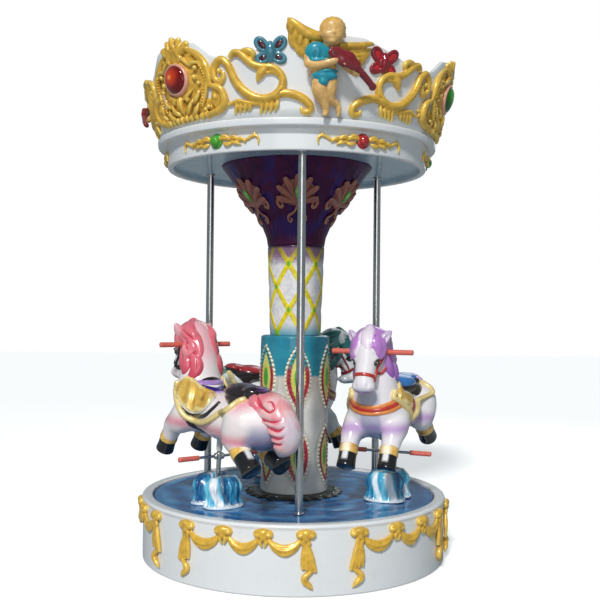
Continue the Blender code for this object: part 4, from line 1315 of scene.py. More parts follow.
def child_skin():
    clay = block()
    clay.ball("-27 66 2360", "45 44 50", .004)
    clay.ball("-31 80 2330", "33 34 34", .014)
    for side in (-1, 1):
        clay.ball((-.031 + side * .018, .098, 2.334), "14 13 13", .008)
        clay.ball((-.03 + side * .0165, .112, 2.353), "10.5 5.5 6.5", .004, carve=True)
        clay.ball((-.03 + side * .0165, .106, 2.352), (.008, .004, .0042), .001)
        clay.ball((-.027 + side * .045, .066, 2.346), "6 10 12", .003)
    clay.ball("-31 113 2342", "6 8.5 7", .005)
    clay.ball("-31 111 2325", "10 5 4.5", .004)
    clay.trail("-40 116 2326, -31 119 2324, -22 116 2326", "1.5 2.6 1.5", 12, .001, carve=True)
    clay.ball("-32 103 2310", "13 11 8", .008)
    clay.limb("-34 60 2318", .02, "-48 50 2285", .026, .006)
    clay.ball("-58 44 2222", "56 40 52", .008)
    clay.trail("-112 52 2260, -110 62 2229, -80 80 2219, -46 94 2226, -14 102 2238", "18 18 17 15 12", 24,
            .004)
    for knuckle in range(4):
        clay.trail([(-.012 + .004 * knuckle, .106, 2.246 - .006 * knuckle),
                (.004 + .004 * knuckle, .114, 2.24 - .006 * knuckle)], "5 4", 8, .001)
        clay.trail([(.052 + .008 * knuckle, .094, 2.206 - .005 * knuckle),
                (.06 + .008 * knuckle, .104, 2.218 - .005 * knuckle)], "5.5 4.5", 8, .001)
    clay.trail("10 46 2262, 45 58 2224, 66 78 2200", "18 16 13", 12, .004)
    clay.ball("68 84 2198", "17 13 13", .004)
    for path, radii in (("-64 44 2160, -62 48 2126, -42 46 2086, -32 42 2052, -38 46 2028",
            "32 31 21 15 11"), ("-22 44 2165, -20 46 2130, -14 42 2096, 10 36 2082", "30 26 18 13"),
            ("14 34 2086, 26 34 2060, 24 36 2032", "12 12 6")):
        clay.trail(path, radii, 24, .004)
    clay.ball("-40 54 2022", "13 20 9", .005)
    return clay.relief(.005, 6)


# %% Hair
def child_hair():
    clay = block()
    clay.ball("-27 58 2368", "47 46 47", .004)
    for index in range(70):
        height = 1 - (index + .5) / 70 * 1.3
        turn = index * 2.39996
        spread = math.sqrt(max(0, 1 - height * height))
        aim = np.array((math.cos(turn) * spread, math.sin(turn) * spread, height))
        if aim[1] > .35 and height < .45:
            continue
        centre = np.array((-.027, .06, 2.364)) + aim * (.0425, .0425, .0445)
        clay.ball(centre, "7.6 7.6 7.6", .004)
    return clay.relief(.0025)


# %% Dress
def child_dress():
    clay = block()
    clay.ball("-82 56 2276", "45 36 42", .006)
    clay.ball("-46 50 2272", "46 34 36", .006)
    for fold in range(4):
        x = -.112 + .022 * fold
        clay.trail([(-.078, .092, 2.306), (x, .094, 2.276), (x * 1.04, .08, 2.244)], "2 5 5", 14, .004,
                carve=True)
    clay.trail("-118 60 2252, -90 80 2240, -56 84 2244", "7 8 7", 20, .003)
    clay.ball("-46 56 2184", "50 34 24", .006)
    clay.ball("-54 64 2160", "22 24 20", .008)
    clay.trail("-94 58 2188, -46 88 2200, 2 58 2206", "6 7 6", 20, .003)
    return clay.relief(.004, 5)


# %% Violin
def child_violin():
    clay = block()
    for centre, size in (("-14 100 2264", .029), ("22 104 2244", .036), ("54 100 2226", .025)):
        clay.ball(centre, (size * 1.05, .016, size * .92), .01)
    clay.limb("58 100 2220", .015, "146 74 2158", .013, .004)
    clay.ball("150 72 2155", "16 14 16", .003)
    for shift in (-1, 1):
        off = np.array((.507, 0, .862)) * shift
        clay.trail([np.array((.004, .121, 2.257)) + .012 * off, np.array((.036, .121, 2.238)) + .014 * off],
                "2 2", 12, .001, carve=True)
        clay.ball(np.array((-.036, .104, 2.274)) + .006 * off, "8 12 8", .002)
    clay.limb("-30 120 2272", .003, "140 90 2166", .003, .002)
    return clay.relief(.004, 5)


# %% Wings
def child_wings():
    clay = block()
    left = smooth_path("-62 28 2344, -100 30 2350, -140 28 2372, -172 24 2400, -190 18 2416", 40)
    clay.trail(left, np.interp(np.linspace(0, 1, 40), [0, .3, .6, .85, 1], [.02, .023, .019, .012, .006]),
            40, .004)
    for centre_and_size in ("-160 10 2345, 34 14 44", "-126 10 2308, 40 14 38", "-181 10 2384, 16 12 26",
            "86 10 2300, 62 14 34", "98 10 2272, 34 12 28", "-70 12 2310, 30 14 30"):
        clay.ball(*mm(centre_and_size), .004)
    for share, edge in ((.9, (-.195, 2.382)), (.78, (-.188, 2.348)), (.66, (-.174, 2.316)),
            (.52, (-.154, 2.286)), (.36, (-.13, 2.268)), (.2, (-.106, 2.266))):
        root = left[int(share * 39)]
        end = np.array((edge[0], .006, edge[1]))
        clay.trail([root, (root + end) / 2 + (.004, .006, 0), end], "8 12.5 5", 16, .0015)
    clay.trail("18 26 2316, 60 28 2320, 100 26 2326, 138 22 2338, 155 16 2340", "14 14 13 10 6", 30, .003)
    for row in (((.026, 2.3), (.084, 2.304), (.149, 2.322)), ((.034, 2.284), (.086, 2.286), (.14, 2.3)),
            ((.044, 2.268), (.086, 2.268), (.128, 2.28)), ((.054, 2.254), (.084, 2.252), (.112, 2.26)),
            ((.068, 2.244), (.084, 2.24), (.098, 2.244))):
        clay.trail([(x, y, z) for (x, z), y in zip(row, (.018, .02, .008))], "8 10.5 5", 20, .0015)
    return clay.relief(.005, 8)


# %% The painted figure, three times
SKIN = brushed_and_shaded("cherub_paint", (.82, .5, .17), (.34, .15, .04), (.98, .78, .42), .26, coat=.35, grain=60.0)
HAIR = brushed_and_shaded("hair_paint", (.8, .48, .08), (.3, .13, .02), (1.0, .8, .3), .26)
DRESS = brushed_and_shaded("dress_paint", (.02, .34, .44), (.005, .1, .2), (.16, .66, .74), .2)
VIOLIN = brushed_and_shaded("violin_paint", (.26, .012, .02), (.05, .003, .004), (.62, .1, .08), .12, coat=.8)
FIGURE = [(child_skin(), SKIN), (child_hair(), HAIR), (child_dress(), DRESS), (child_violin(), VIOLIN),
        (child_wings(), GOLD)]
EYES = Paint("eye_enamel", (.02, .012, .01), .08, coat=1.0)
EYES.lay(Base_Color=EYES.place().noise(90.0).mix((.01, .006, .006), (.05, .03, .03)))
for number in range(3):
    bend = laid_on(crown_wall, PANELS[number], CROWN_MIDDLE)
    piece(f"child_{number + 1}", [shape.moved(bend) for shape, _ in FIGURE], [paint for _, paint in FIGURE],
          "platform", [f"cherub_{number + 1}"])

# %% [markdown]
# ### Butterflies
# Between the figure and the scrolls a butterfly in four loops is set on the wall, blue on one
# side and red on the other.


# %% Butterflies
def butterfly():
    """Four ringed lobes on a body, and the four enamel insets inside the rings."""
    clay, insets = Clay("-84 -6 -66", "84 26 72", .0028), []
    for side in (-1, 1):
        for x, z, lean, long, wide in ((.036, .03, .85, .031, .02), (.034, -.024, -.35, .026, .018)):
            c, s = math.cos(lean), math.sin(lean)
            turn = np.linspace(0, 2 * math.pi, 18)
            loop = [(side * (x + c * long * math.cos(t) * .9 - s * wide * math.sin(t) * .9), .004,
                    z + s * long * math.cos(t) * .9 + c * wide * math.sin(t) * .9) for t in turn]
            clay.trail(loop, [.0088 + .0016 * math.cos(t) for t in turn], 44, .003)
            clay.ball((side * x, 0.0, z), (long, .006, wide), .002)
            drop = pebble((0, 0, 0), (long * .84, .01, wide * .82), rings=8, sides=18)
            insets.append(drop.moved(lambda p: np.stack([side * (x + c * p[:, 0] - s * p[:, 2]),
                    .003 + p[:, 1], z + s * p[:, 0] + c * p[:, 2]], -1)))
    clay.trail("0 6 34, 0 11 0, 0 6 -34", "10 18 10", 18, .008)
    return clay.relief(.004, 6), insets


# %% Enamelled wings
BLUE_WING = brushed_and_shaded("butterfly_blue", (.06, .25, .33), (.012, .06, .1), (.36, .62, .7), .18, coat=.6)
RED_WING = brushed_and_shaded("butterfly_red", (.3, .008, .02), (.07, .003, .006), (.8, .2, .16), .14, coat=.6)
DARK_INSET = brushed_and_shaded("inset_dark", (.06, .008, .02), (.015, .002, .006), (.22, .06, .07), .14, coat=.6)
RED_INSET = brushed_and_shaded("inset_red", (.66, .015, .02), (.26, .006, .01), (.95, .2, .16), .12, coat=.8)
MOTH, INSETS = butterfly()
for number in range(3):
    for word, offset, height, paint, inset in (("blue", -21.0, 2.292, BLUE_WING, DARK_INSET),
            ("red", 17.9, 2.276, RED_WING, RED_INSET)):
        bend = laid_on(crown_wall, PANELS[number] + offset, CROWN_MIDDLE)
        raised = [part.moved(lambda points: points + [0, 0, height]).moved(bend) for part in [MOTH]
                + INSETS]
        piece(f"butterfly_{word}_{number + 1}", raised, [paint] + [inset] * 4, "platform", ())

# %% [markdown]
# ## The poles
# Three polished steel tubes carry the canopy. Each stands in a small collar with three bolts.

# %% Poles
POLE = rounded([(0, .2965), (.0235, .2965), (.0235, .303), (.0187, .3045), (.0185, .31), (.0185, 1.914),
        (.0235, 1.916), (.0235, 1.9245), (0, 1.9245)], .002)
for number in range(3):
    turn = math.radians(POLES[number])
    foot = POLE_CIRCLE * np.array((math.sin(turn), -math.cos(turn), 0))
    piece(f"pole_tube_{number + 1}", [turning(POLE, 48).moved(lambda points: points + foot)], STEEL,
          "platform", [f"pole_{number + 1}"], sharp=40)

# %% [markdown]
# ## Waves, struts and handlebars
# Each horse stands on a steel strut that rocks in the slot of a cast block shaped like two
# waves. A thin bar with two grips crosses the strut for the rider's feet.


# %% Placing things in a horse's own frame
class Seat:
    """A horse's frame: nose along +X, outer side along +Y, levels as on the ground."""

    def __init__(self, number):
        angle, tilt = HORSES[number], (4.4, 0.0, -4.4)[number]
        spot = Vector((math.sin(math.radians(angle)), -math.cos(math.radians(angle)), 0)) * HORSE_CIRCLE
        heading = Matrix.Rotation(math.radians(angle - 5 + 180), 4, "Z")
        rock = Matrix.Translation((0, 0, PIVOT)) @ Matrix.Rotation(math.radians(-tilt), 4, "Y")
        self.still = np.array(Matrix.Translation(spot) @ heading)
        self.rocking = np.array(Matrix.Translation(spot) @ heading @ rock @ Matrix.Translation((0, 0,
                -PIVOT)))
        self.number, self.body = number + 1, f"horse_{number + 1}"

    def ground(self, points):
        return points @ self.still[:3, :3].T + self.still[:3, 3]

    def __call__(self, points):
        return points @ self.rocking[:3, :3].T + self.rocking[:3, 3]


SEATS = [Seat(number) for number in range(3)]


# %% Two waves in one block
def wave_block():
    clay = Clay("-150 -125 290", "150 125 450", .0036)
    for way in (-1, 1):
        clay.ball((way * .052, 0, .35), "60 84 86", .008)
        clay.ball((way * .062, 0, .392), "46 88 50", .01)
        clay.ball((way * .06, 0, .3), "68 100 22", .012)
        for rib in range(9):
            turn = math.radians(-100 + 25 * rib) if way > 0 else math.radians(80 + 25 * rib)
            c, s = math.cos(turn), math.sin(turn)
            base = np.array((way * .052, 0, 0))
            clay.trail([base + (.064 * c, .092 * s, .304), base + (.056 * c, .082 * s, .345),
                    base + (.062 * c, .088 * s, .39), base + (.04 * c, .062 * s, .432)], "10 6 8 4", 20,
                    .004)
    clay.field = np.maximum(clay.field, (clay.axes[2] - .4445)[None, None, :])
    clay.field = np.maximum(clay.field, -(clay.axes[2] - .2955)[None, None, :])
    gap = np.maximum(np.abs(clay.axes[0])[:, None, None] - .033,
            np.abs(clay.axes[1])[None, :, None] - .0206)
    gap = np.maximum(gap, .353 - clay.axes[2][None, None, :])
    clay.field = np.maximum(clay.field, -gap)
    shape = clay.cast(.003)
    shape.marks["local"] = shape.points.copy()
    return shape


# %% The waves' paint
def foam():
    """Bands that lean round each face of the block: white, cyan, white, then deep blue."""
    paint = Paint("wave_blue", (.1, .45, .66), .16, coat=.5)
    where = paint.mark("local", "Vector")
    x, y, z = paint.split(where)
    bend = where.noise(9.0, 2.0)
    drawn = paint.node("ShaderNodeMapping", None, where, Scale=(30.0, 30.0, 4.0), Rotation=(.25, .1, 0.0))
    streak = drawn.noise(1.0, 3.0, .55)
    around = y.math("ARCTAN2", x) * (3 / (2 * math.pi))
    below = (.45 - z) * 6.5
    phase = (around + 1.26 - .2 * (below * below) + .1 * bend + .03 * streak).math("FRACT")
    deep = streak.rise(.42, .62).mix((.012, .1, .26), (.05, .36, .58))
    deep = (streak.rise(.64, .72) * .8).mix(deep, (.5, .7, .8))
    bright = streak.rise(.35, .62).mix((.03, .38, .62), (.16, .58, .76))
    tone = phase.band(.06, .58, .02).mix(deep, bright)
    tone = (phase + .05 * streak).band(.13, .23, .03).mix(tone, (.84, .88, .9))
    tone = (phase + .04 * streak).band(.4, .55, .03).mix(tone, (.84, .88, .9))
    tone = (phase.band(.59, .64, .02) * .8).mix(tone, (.14, .19, .24))
    tone = ((1 - (z + .03 * streak).rise(.318, .332)) * .9).mix(tone, (.8, .86, .89))
    tone = (z.rise(.428, .44) * .8).mix(tone, (.14, .19, .24))
    paint.lay(Base_Color=tone, Roughness=.14 + .2 * streak)
    return paint.bump(streak, .003, .5)


FOAM, BLOCK = foam(), wave_block()
RUBBER = brushed_and_shaded("grip_red", (.74, .16, .12), (.4, .05, .04), (.92, .42, .34), .34, coat=.1, grain=70.0)
SLEEVE = gelcoat("pale_sleeve", (.62, .62, .6), (.3, .3, .3), .35)


def along(axis, profile, centre, steps=32):
    """Turn a profile about an axis through a centre, X, Y or Z."""
    shape = turning(profile, steps)
    order = {"X": [2, 0, 1], "Y": [0, 2, 1], "Z": [0, 1, 2]}[axis]
    return shape.moved(lambda points: points[:, order] + np.asarray(centre, float))


# %% The strut and its foot bar
def strut():
    rod = rounded("0 380, 11 380, 11 654, 0 654", .002)
    knuckle = rounded("0 -19.8, 17 -19.8, 17 19.8, 0 19.8", .003)
    clamp = rounded("0 -22, 15.5 -22, 15.5 -12, 12 -10, 12 10, 15.5 12, 15.5 22, 0 22", .002)
    collar = rounded("0 -15, 15.8 -15, 15.8 15, 0 15", .003)
    sleeve = rounded("0 548, 13.5 548, 14.5 556, 14.5 640, 0 640", .003)
    bar = rounded("0 -204, 6.8 -204, 6.8 204, 0 204", .002)
    shapes = [(along("Z", rod, (0, 0, 0)), STEEL), (along("Y", knuckle, (0, 0, PIVOT)), STEEL),
            (along("Y", clamp, (0, 0, FOOT_BAR), 24), STEEL), (along("Z", collar, (0, 0, FOOT_BAR), 24),
            STEEL), (along("Z", sleeve, (0, 0, 0)), SLEEVE), (along("Y", bar, (0, 0, FOOT_BAR)), STEEL)]
    for side in (-1, 1):
        levels = np.linspace(.111, .212, 22)
        swell = .0112 + .0008 * (np.arange(22) % 2)
        grip = [(0, .11), *zip(swell, levels), (.008, .2148), (0, .215)]
        shapes.append((along("Y", [(r, side * h) for r, h in grip], (0, 0, FOOT_BAR), 24), RUBBER))
    return shapes


# %% The handlebar, and all three sets
def handlebar():
    levels = np.linspace(-.19, .19, 77)
    ends = np.abs(levels) > .085
    swell = np.where(ends, .0119 + .0006 * (np.arange(77) % 2), .0112)
    profile = [(0, -.195), (.009, -.1945), (.0122, -.1925), *zip(swell, levels), (.0122, .1925),
            (.009, .1945), (0, .195)]
    return along("Y", profile, (.262, 0, 1.016), 28)


STRUT, HANDLE = strut(), handlebar()
for seat in SEATS:
    piece(f"wave_foam_{seat.number}", [BLOCK.moved(seat.ground)], FOAM, "platform",
          [f"wave_block_{seat.number}"])
    piece(f"strut_steel_{seat.number}", [shape.moved(seat) for shape, _ in STRUT],
          [paint for _, paint in STRUT], seat.body, [f"strut_{seat.number}"])
    piece(f"handle_grip_{seat.number}", [HANDLE.moved(seat)], RUBBER, seat.body,
          [f"handlebar_{seat.number}"])

# %% [markdown]
# ## The horses
# One horse is sculpted in clay and painted three ways. Every piece of tack is drawn as a rough
# path beside the body and then settled on to the clay, so straps lie where leather would.


# %% The body in clay
HIND_LEGS = ((1, (-.262, .662), (-.33, .606), (-.4, .554)), (-1, (-.228, .636), (-.276, .574),
        (-.356, .55)))


def horse_clay():
    clay = Clay("-500 -175 475", "445 175 1160", .0052)
    clay.ball("-70 0 715", "262 116 112", .03)
    clay.ball("-310 0 740", "133 124 124", .03)
    clay.ball("155 0 738", "136 130 134", .03)
    clay.trail("185 0 780, 203 0 850, 210 0 950, 245 0 1050", "116 104 86 68", 24, .03)
    clay.trail("262 0 1075, 322 0 1028, 350 0 960, 374 0 890", "58 60 49 44", 24, .02)
    clay.ball("386 0 866", "38 54 34", .012)
    clay.ball("350 0 850", "38 38 24", .012)
    for side in (-1, 1):
        s = mirror(side, 1)
        clay.ball(s("278 34 985"), "56 32 58", .02)
        clay.ball(s("345 40 985"), "30 20 18", .012)
        clay.ball(s("357 56 966"), "18 12 13", .006, carve=True)
        clay.ball(s("420 30 872"), "10 9 12", .006, carve=True)
        clay.trail(s("404 46 842, 376 54 842, 346 46 852"), "6 6 3", 12, .004, carve=True)
        clay.trail(s("165 72 700, 205 90 664, 252 98 632, 296 97 574, 316 96 544"), "82 66 50 40 38", 30,
                .02)
        clay.ball(s("256 98 634"), "48 46 44", .012)
    for side, (f, z), cuff, _ in HIND_LEGS:
        clay.trail([(-.295, side * .066, .735), (-.28, side * .08, .69), (f, side * .09, z + .006)],
                "100 82 57", 20, .02)
        clay.limb((f, side * .092, z), .054, (cuff[0], side * .096, cuff[1]), .04, .02)
    clay.ball("-395 0 808", "76 62 60", .02)
    return clay


# %% Straps and cloth that lie on the clay
def swept(section, spine, aim):
    """Carry a flat section (across, proud) along a spine, proud along the aim at each point."""
    ahead = np.gradient(spine, axis=0)
    ahead /= np.maximum(np.linalg.norm(ahead, axis=1, keepdims=True), 1e-9)
    side = np.cross(aim, ahead)
    side /= np.maximum(np.linalg.norm(side, axis=1, keepdims=True), 1e-9)
    return loft(spine[:, None] + (section[None, :, :1] * side[:, None] + section[None, :, 1:] * aim[:,
            None]))


STRAP = [(-.5, -.15), (-.5, .1), (-.42, .2), (-.2, .24), (.2, .24), (.42, .2), (.5, .1), (.5, -.15)]


def strap(clay, path, width, thick=.004, count=60):
    """A leather strap settled on the clay."""
    spine = clay.settle(smooth_path(path, count), .0005)
    for _ in range(2):
        spine[1:-1] = (spine[:-2] + 2 * spine[1:-1] + spine[2:]) / 4
    return swept(np.array(STRAP) * (width, thick / .24), spine, clay.slope(spine))


def cloth(clay, grid, proud, sink=-.004):
    """A sheet settled on the clay, as thick as it stands proud, with its edges tucked in."""
    rows, count = grid.shape[:2]
    outer = clay.settle(grid.reshape(-1, 3), np.ravel(proud)).reshape(rows, count, 3)
    inner = clay.settle(grid.reshape(-1, 3), sink).reshape(rows, count, 3)
    return loft(np.concatenate([outer, inner[:, ::-1]], 1))


HORSE = horse_clay()
BODY = HORSE.cast(.004)
print("horse clay:", len(BODY.points), "points")


# %% The mane
def mane():
    """Hair in relief: a thick cap on the poll, and curls that roll down both sides of the neck."""
    clay = Clay("30 -150 850", "395 150 1156", .0042)
    clay.ball("272 0 1084", "66 74 50", .02)
    for side in (-1, 1):
        s = mirror(side, 1)
        def lump(path, radii, blend=.005, proud=.01, carve=False):
            drift = 0.0 if side > 0 else .028
            laid = HORSE.settle(np.array([(f + drift * (z < 1.06), side * y, z) for f, y, z in mm(path)]),
                    0.0)
            laid = laid + HORSE.slope(laid) * (proud - (0 if carve else mm(radii).max()))
            clay.trail(laid, radii, 30, blend, carve)
        clay.ball(s("245 52 1055"), "72 34 56", .02)
        lump("312 24 1125, 345 50 1075, 340 66 1020, 356 40 976", "24 36 28 6", .004, .022)
        lump("300 50 1118, 318 82 1075, 316 90 1030, 330 80 1000, 346 60 1006", "20 30 28 18 8", .004, .026)
        lump("290 60 1115, 240 90 1095, 180 80 1085, 130 80 1075, 92 80 1035, 100 85 995, 140 90 990",
             "16 26 26 25 22 18 9", .004, .014)
        lump("282 70 1075, 228 90 1062, 176 90 1050, 150 90 1020, 176 90 998", "12 20 20 17 10", .003, .018)
        lump("226 100 1040, 218 100 1000, 180 100 985, 165 100 1010, 190 100 1028", "16 22 20 16 14", .003,
             .021)
        lump("290 80 1030, 268 90 985, 246 90 930, 226 95 890", "16 26 26 10", .004, .012)
        lump("240 100 985, 196 100 955, 192 100 910, 210 105 882", "14 26 26 10", .004, .014)
        lump("180 100 990, 120 100 970, 96 100 930, 130 105 892, 178 110 880", "14 30 34 26 9", .003, .017)
        for path in ("160 100 982, 128 100 955, 130 100 915, 156 110 892",
                "130 100 990, 90 100 965, 82 100 930, 100 110 900",
                "262 100 1000, 242 100 950, 226 100 905", "222 100 975, 196 100 935, 204 100 895",
                "280 100 1100, 225 100 1082, 160 100 1072, 120 100 1040",
                "262 100 1062, 205 100 1046, 170 100 1024"):
            inner = path.count(",") - 1
            lump(path, [.002] + [.0048] * inner + [.002], .004, .017, True)
        clay.trail(s("330 40 1112, 352 40 1080, 366 34 1020"), "1 5 3", 20, .006, carve=True)
    clay.trail("292 0 1118, 338 4 1072, 360 12 1015, 366 17 968", "26 34 26 5", 24, .004)
    return clay.cast(.006, 8)


# %% The tail
def tail():
    """A docked tail in one mass: a swirl on top, then long grooves that sweep round and down."""
    clay = Clay("-580 -130 590", "-265 130 905", .0042)
    clay.ball("-398 0 812", "82 70 70", .02)
    clay.trail("-440 0 796, -478 -10 742, -480 -22 690, -450 -30 640", "70 70 62 32", 24, .02)
    for side in (-1, 1):
        s = mirror(side, 1)
        clay.ball(s("-352 44 818"), "52 46 54", .012)
        clay.ball(s("-380 50 764"), "50 34 50", .015)
        def groove(path, radii, blend=.009):
            drawn = smooth_path([(f, .03, z) for f, z in mm(path)], 30)
            clay.trail(clay.meet(drawn, SIGHT) * (1, side, 1), radii, 30, blend, carve=True)
        groove("-285 752, -396 738, -480 736, -535 758", "4 10.5 10 3")
        groove("-335 712, -444 699, -500 702, -538 720", "4 10.5 9.5 3")
        groove("-385 680, -464 672, -510 678, -533 697", "4 10 8 3")
        groove("-262 822, -300 780, -370 764, -450 770, -510 790", "3 8 8 7 2")
        groove("-320 872, -330 835, -362 815, -410 806, -445 825, -430 850, -395 846", "3 8 8 8 8 6 3")
    return clay.cast(.0045, 10)


# %% Ears and eyes
def ears():
    made = []
    for side in (-1, 1):
        s, shell = mirror(side, 1), Clay("260 -125 1030", "345 125 1135", .0034)
        shell.trail(s("306 52 1052, 304 72 1080, 298 90 1102, 294 99 1114"), "24 24 14 4", 16, .004)
        shell.trail(s("330 76 1066, 322 92 1088, 308 102 1106"), "11 11 4", 12, .004, carve=True)
        made.append(shell.cast(.003))
    return made


def eyes():
    made = []
    for side in (-1, 1):
        made.append((pebble((.357, side * .049, .967), (.015, .01, .0115), rings=12, sides=20), EYES))
        made.append((pebble((.365, side * .0575, .972), (.0032, .0022, .0032)), GLINT))
        lid = HORSE.settle(np.array([(.34, side * .06, .962), (.348, side * .06, .981),
                (.362, side * .055, .984), (.377, side * .05, .972)]), .002)
        made.append((tube(lid, "3 5.5 5.5 2", 16, 10), EYES))
    return made


GLINT = Paint("eye_glint", (.9, .9, .88), .1, coat=1.0)
GLINT.lay(Base_Color=GLINT.place().noise(60.0).mix((.95, .95, .93), (.8, .82, .84)))


# %% Hooves and cuffs
def hooves():
    """Each foot is a gold cuff over a flared black hoof with a flat sole."""
    legs = [(side, (.31, .556), (.34, .499), .04) for side in (-1, 1)]
    legs += [(side, cuff, toe, .043) for side, _, cuff, toe in HIND_LEGS]
    made = []
    for side, cuff, toe, wide in legs:
        start, end = (np.array((f, side * .096, z)) for f, z in (cuff, toe))
        run = end - start
        spine = [start - .55 * run, start - .42 * run, start + .06 * run, start + .14 * run,
                start + .55 * run, start + 1.05 * run, start + 1.12 * run]
        ahead = run / np.linalg.norm(run)
        across = np.array((0.0, 1.0, 0.0))
        up = np.cross(ahead, across)
        up *= np.sign(up[2])
        angles = np.linspace(0, 2 * math.pi, 32, endpoint=False)
        for rows, scale, paint in ((spine[:4], (.94, 1.06, 1.09, .96), CUFF),
                (spine[2:], (.9, 1.02, 1.04, 1.1, 1.02), HOOF)):
            rings = [spot + wide * s * (np.cos(angles)[:, None] * across + np.sin(angles)[:, None] * up)
                    for spot, s in zip(smooth_path(rows, 20), smooth_path(scale, 20)[:, 0])]
            shape = loft(rings)
            gone = (shape.points - start) @ run / (run @ run)
            front = (shape.points - start) @ up / wide
            shape.marks["strand"] = np.stack([gone, front, np.abs((shape.points - start) @ across) / wide],
                    -1)
            made.append((shape, paint))
    return made


def foot_paint(name, plain, deep, bright, low, high):
    """Enamel with a painted highlight, a pale stripe down the front of the foot."""
    paint = Paint(name, plain, .12, coat=.5)
    gone, front, beside = paint.marks("strand")
    cloud = paint.place().noise(30.0, 3.0)
    tone = cloud.rise(.35, .75).mix(plain, deep)
    # Painted highlight: a pale stripe down the front of the foot, fading towards the sole.
    highlight_stripe = (front - beside + .2 * cloud).rise(low, high) * (1 - (gone + .1 * cloud).rise(.6, .85))
    paint.lay(Base_Color=highlight_stripe.mix(tone, bright), Roughness=.1 + .15 * cloud)
    return paint.bump(cloud, .001, .3)


HOOF = foot_paint("hoof_paint", (.01, .01, .012), (.004, .004, .004), (.8, .8, .8), .55, .95)
CUFF = foot_paint("cuff_gold", (.84, .54, .12), (.5, .26, .05), (.98, .9, .66), .1, 1.1)


# %% Saddle, cloth and straps
def saddle():
    clay = Clay("-372 -125 740", "-70 125 900", .0042)
    clay.ball("-205 0 824", "116 92 38", .01)
    clay.ball("-292 0 846", "56 78 34", .014)
    for side in (-1, 1):
        s = mirror(side, 1)
        clay.ball(s("-255 80 800"), "70 26 36", .014)
    return clay.cast(.004)


def seat_pad():
    clay = Clay("-372 -105 780", "-70 105 905", .0042)
    clay.ball("-180 0 848", "94 86 42", .01)
    clay.ball("-276 0 868", "52 66 24", .016)
    for row in range(4):
        clay.trail([(-.16 - .034 * row, -.056, .89), (-.16 - .034 * row, 0, .893),
                (-.16 - .034 * row, .056, .89)], "2.5 4 2.5", 12, .004, carve=True)
    clay.trail("-100 -60 850, -85 0 850, -100 60 850", "4 5 4", 16, .004, carve=True)
    return clay.cast(.004)


# %% The cloth over the shoulder
SIGHT = (-.857, .516, .09)


def sighted(path, side, count):
    """Draw (forward, height) points as they look from outside and behind, and lay them on the clay."""
    drawn = smooth_path([(f, .13, z) for f, z in mm(path)], count)
    return HORSE.settle(HORSE.meet(drawn, SIGHT) * (1, side, 1), 0.0, 3)


def flap(side):
    """The pleated gold cloth that hangs over the shoulder."""
    top = smooth_path("150 856, 110 884, 64 886, 0 866, -74 845, -160 833", 72)
    low = smooth_path("186 826, 190 776, 112 737, 30 722, -60 748, -165 829", 72)
    rows = np.linspace(0, 1, 26)[:, None, None]
    drawn = (top[None] * (1 - rows) + low[None] * rows).reshape(-1, 2)
    grid = HORSE.meet(np.stack([drawn[:, 0], np.full(len(drawn), .13), drawn[:, 1]], -1), SIGHT) * (1, side,
            1)
    u, v = np.linspace(0, 1, 72)[None], np.linspace(0, 1, 26)[:, None]
    pleats = .5 + .5 * np.cos(2 * math.pi * (u * 4.6 - .25 + .25 * (1 - v)))
    border = np.clip(np.minimum(np.minimum(u, 1 - u) * 14, np.minimum(v, 1 - v) * 12), 0, 1)
    proud = .002 + border * (.007 + .012 * pleats * (.2 + .8 * v))
    return shade_marked(cloth(HORSE, grid.reshape(26, 72, 3), proud), .004, 8)


# %% Braid, straps and bridle
def rope(spine, radius):
    """A gilt braid: a tube with ridges that wind round it."""
    for _ in range(4):
        spine[1:-1] = (spine[:-2] + 2 * spine[1:-1] + spine[2:]) / 4
    spine = spine + HORSE.slope(spine) * radius * .35
    return shade_marked(tube(spine[::2], [radius] * len(spine[::2]), 2 * len(spine), 16, 3, .1, 170.0), .0016)


def tack():
    made = []
    braid = "188 842, 196 800, 168 738, 97 698, -24 690, -96 709, -183 752, -258 793, -331 829, -392 848"
    belt = "176 800, 150 752, 75 722, 0 714, -64 728, -125 765, -190 806"
    belt_highlight = "186 812, 168 762, 95 731, 30 724, -50 745, -150 815"
    for side in (-1, 1):
        s = mirror(side, 1)
        made.append((flap(side), GOLD_CLOTH))
        made.append((rope(sighted(braid, side, 100), .0135), GOLD_CLOTH))
        made.append((strap(HORSE, sighted(belt, side, 60), .02), LEATHER))
        # A pale strip along the upper edge of the belt is a painted highlight on the black leather.
        made.append((strap(HORSE, sighted(belt_highlight, side, 60), .009, .008), "pale"))
        for path in ("290 80 1040, 306 80 992, 346 66 930, 366 56 895",
                "286 85 1020, 262 80 972, 288 66 925, 350 58 888"):
            made.append((strap(HORSE, s(path), .011, .008), LEATHER))
        made.append((shade_marked(along("Y", rounded("0 -3, 11 -3, 11 3, 0 3", .002),
                HORSE.settle(np.array([(.285, side * .09, 1.022)]), .008)[0], 20), .002), GOLD))
    circle = np.linspace(0, 2 * math.pi, 49)[:-1]
    nose = [(.362 + .026 * math.cos(t), .062 * math.sin(t), .9 + .016 * math.cos(t)) for t in circle]
    made.append((ringed(nose, .016, .004), LEATHER))
    for shift, paint in ((1, None), (0, "core"), (-1, None)):
        lift = [shift * (.0215 - .006 * math.cos(t)) for t in circle]
        collar = [(.16 + .135 * math.cos(t) + .45 * up, .125 * math.sin(t),
                .812 - .062 * math.cos(t) + .9 * up) for t, up in zip(circle, lift)]
        made.append((ringed(collar, .022 - .006 * np.cos(circle), .0045 + .001 * (paint == "core")), paint))
    girth = [(.085 - .02 * math.cos(t), .14 * math.sin(t), .7 - .16 * math.cos(t)) for t in circle]
    made.append((ringed(girth, .024, .004), BLACKISH))
    return made


